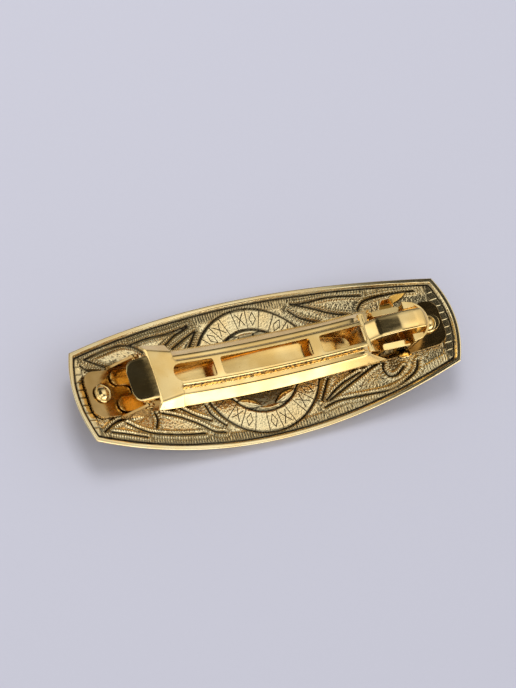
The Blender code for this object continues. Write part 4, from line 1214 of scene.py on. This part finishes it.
def fine_copy(node, name, material, edge):
    """A copy of a solid with its long edges rounded and its curves shaded smooth."""
    shape = bmesh.new()
    shape.from_mesh(node.data)
    bmesh.ops.remove_doubles(shape, verts=shape.verts, dist=WELD)
    bmesh.ops.dissolve_limit(
        shape, angle_limit=FLAT_ANGLE, verts=shape.verts, edges=shape.edges, delimit={"NORMAL"}
    )
    sharp = [
        item
        for item in shape.edges
        if len(item.link_faces) == 2 and item.calc_face_angle(0) > SHARP_ANGLE
    ]
    bmesh.ops.bevel(
        shape,
        geom=sharp,
        offset=edge,
        offset_type="OFFSET",
        segments=EDGE_SEGMENTS,
        profile=0.5,
        affect="EDGES",
        clamp_overlap=True,
    )
    mesh = bpy.data.meshes.new(name)
    shape.to_mesh(mesh)
    shape.free()
    item = added(name, mesh)
    shaded(mesh, material)
    weights = item.modifiers.new("Even shading", "WEIGHTED_NORMAL")
    weights.keep_sharp = True
    return item


# Studio


def add_camera():
    data = bpy.data.cameras.new("camera")
    camera = bpy.data.objects.new("camera", data)
    bpy.context.scene.collection.objects.link(camera)
    camera.matrix_world = Matrix.Translation(CAMERA_PLACE) @ Matrix(CAMERA_ROWS).to_4x4()
    data.sensor_width = SENSOR
    data.lens = FOCAL_PIXELS * SENSOR / IMAGE_HEIGHT
    data.shift_x = (IMAGE_WIDTH / 2 - CENTRE_PIXEL[0]) / IMAGE_HEIGHT
    data.shift_y = (CENTRE_PIXEL[1] - IMAGE_HEIGHT / 2) / IMAGE_HEIGHT
    data.clip_start = NEAR_CLIP
    bpy.context.scene.camera = camera


def add_floor():
    mesh = bpy.data.meshes.new("floor")
    half = FLOOR_SIZE / 2
    corners = [(-half, -half, 0), (half, -half, 0), (half, half, 0), (-half, half, 0)]
    mesh.from_pydata(corners, [], [(0, 1, 2, 3)])
    mesh.materials.append(floor_material())
    floor = added("floor", mesh)


def lobe(tree, direction, toward, inner, outer):
    """1 within the inner angle of a direction, fading to 0 at the outer angle."""
    dot = tree.nodes.new("ShaderNodeVectorMath")
    dot.operation = "DOT_PRODUCT"
    tree.links.new(direction, dot.inputs[0])
    dot.inputs[1].default_value = Vector(toward).normalized()
    low, high = math.cos(math.radians(outer)), math.cos(math.radians(inner))
    return ramp(tree, dot.outputs["Value"], low, high)


def add_world():
    """Even light for the floor, and a studio with bright and dark sides for the metal."""
    world = bpy.data.worlds.new("studio")
    bpy.context.scene.world = world
    world.use_nodes = True
    tree = world.node_tree
    background = tree.nodes["Background"]
    direction = tree.nodes.new("ShaderNodeTexCoord").outputs["Generated"]
    level = STUDIO_GREY
    for toward, inner, outer, strength in BRIGHT_LOBES:
        share = lobe(tree, direction, toward, inner, outer)
        level = maths(tree, "MULTIPLY_ADD", share, strength, level)
    for toward, inner, outer, strength in DARK_LOBES:
        share = lobe(tree, direction, toward, inner, outer)
        kept = maths(tree, "MULTIPLY_ADD", share, -strength, 1.0)
        level = maths(tree, "MULTIPLY", level, kept)
    glossy = tree.nodes.new("ShaderNodeLightPath").outputs["Is Glossy Ray"]
    away = maths(tree, "SUBTRACT", 1.0, glossy)
    level = maths(tree, "MULTIPLY", level, glossy)
    put(tree, background.inputs["Strength"], maths(tree, "MULTIPLY_ADD", away, FILL_LEVEL, level))
    background.inputs["Color"].default_value = (1, 1, 1, 1)


def add_key():
    data = bpy.data.lights.new("key", "AREA")
    data.shape = "SQUARE"
    data.size = KEY_SIZE
    data.energy = KEY_POWER
    key = bpy.data.objects.new("key", data)
    bpy.context.scene.collection.objects.link(key)
    key.location = KEY_PLACE
    key.rotation_euler = (-Vector(KEY_PLACE)).to_track_quat("-Z", "Y").to_euler()
    key.visible_glossy = False


def settle(piece, node, body):
    """Puts a piece on its body, in place of its solid."""
    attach(piece, body)
    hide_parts(node)


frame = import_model()
nodes = frame["nodes"]

metals = {name: polished_metal(name, *values) for name, values in METALS.items()}
polished = metals["polished_gold"]
plate = make_plate(antique_metal())
for node_name, piece_name, body, metal_name, slot_name, edge in COPIES:
    piece = fine_copy(nodes[node_name], piece_name, metals[metal_name], edge)
    settle(piece, node_name, body)
    # The near finger's outer side and tab get painted shade
    if node_name == "catch_finger_near":
        mark_finger_shade(piece.data)
settle(plate, "ornament_plate", "base")
settle(make_arm(polished), "locking_arm", "arm")
settle(make_rivet("fine_rivet_hinge_end", -1, polished), "rivet_hinge_end", "base")
settle(make_rivet("fine_rivet_clasp_end", 1, polished), "rivet_clasp_end", "base")

bpy.context.scene.view_settings.view_transform = "Standard"
add_floor()
add_world()
add_key()
add_camera()
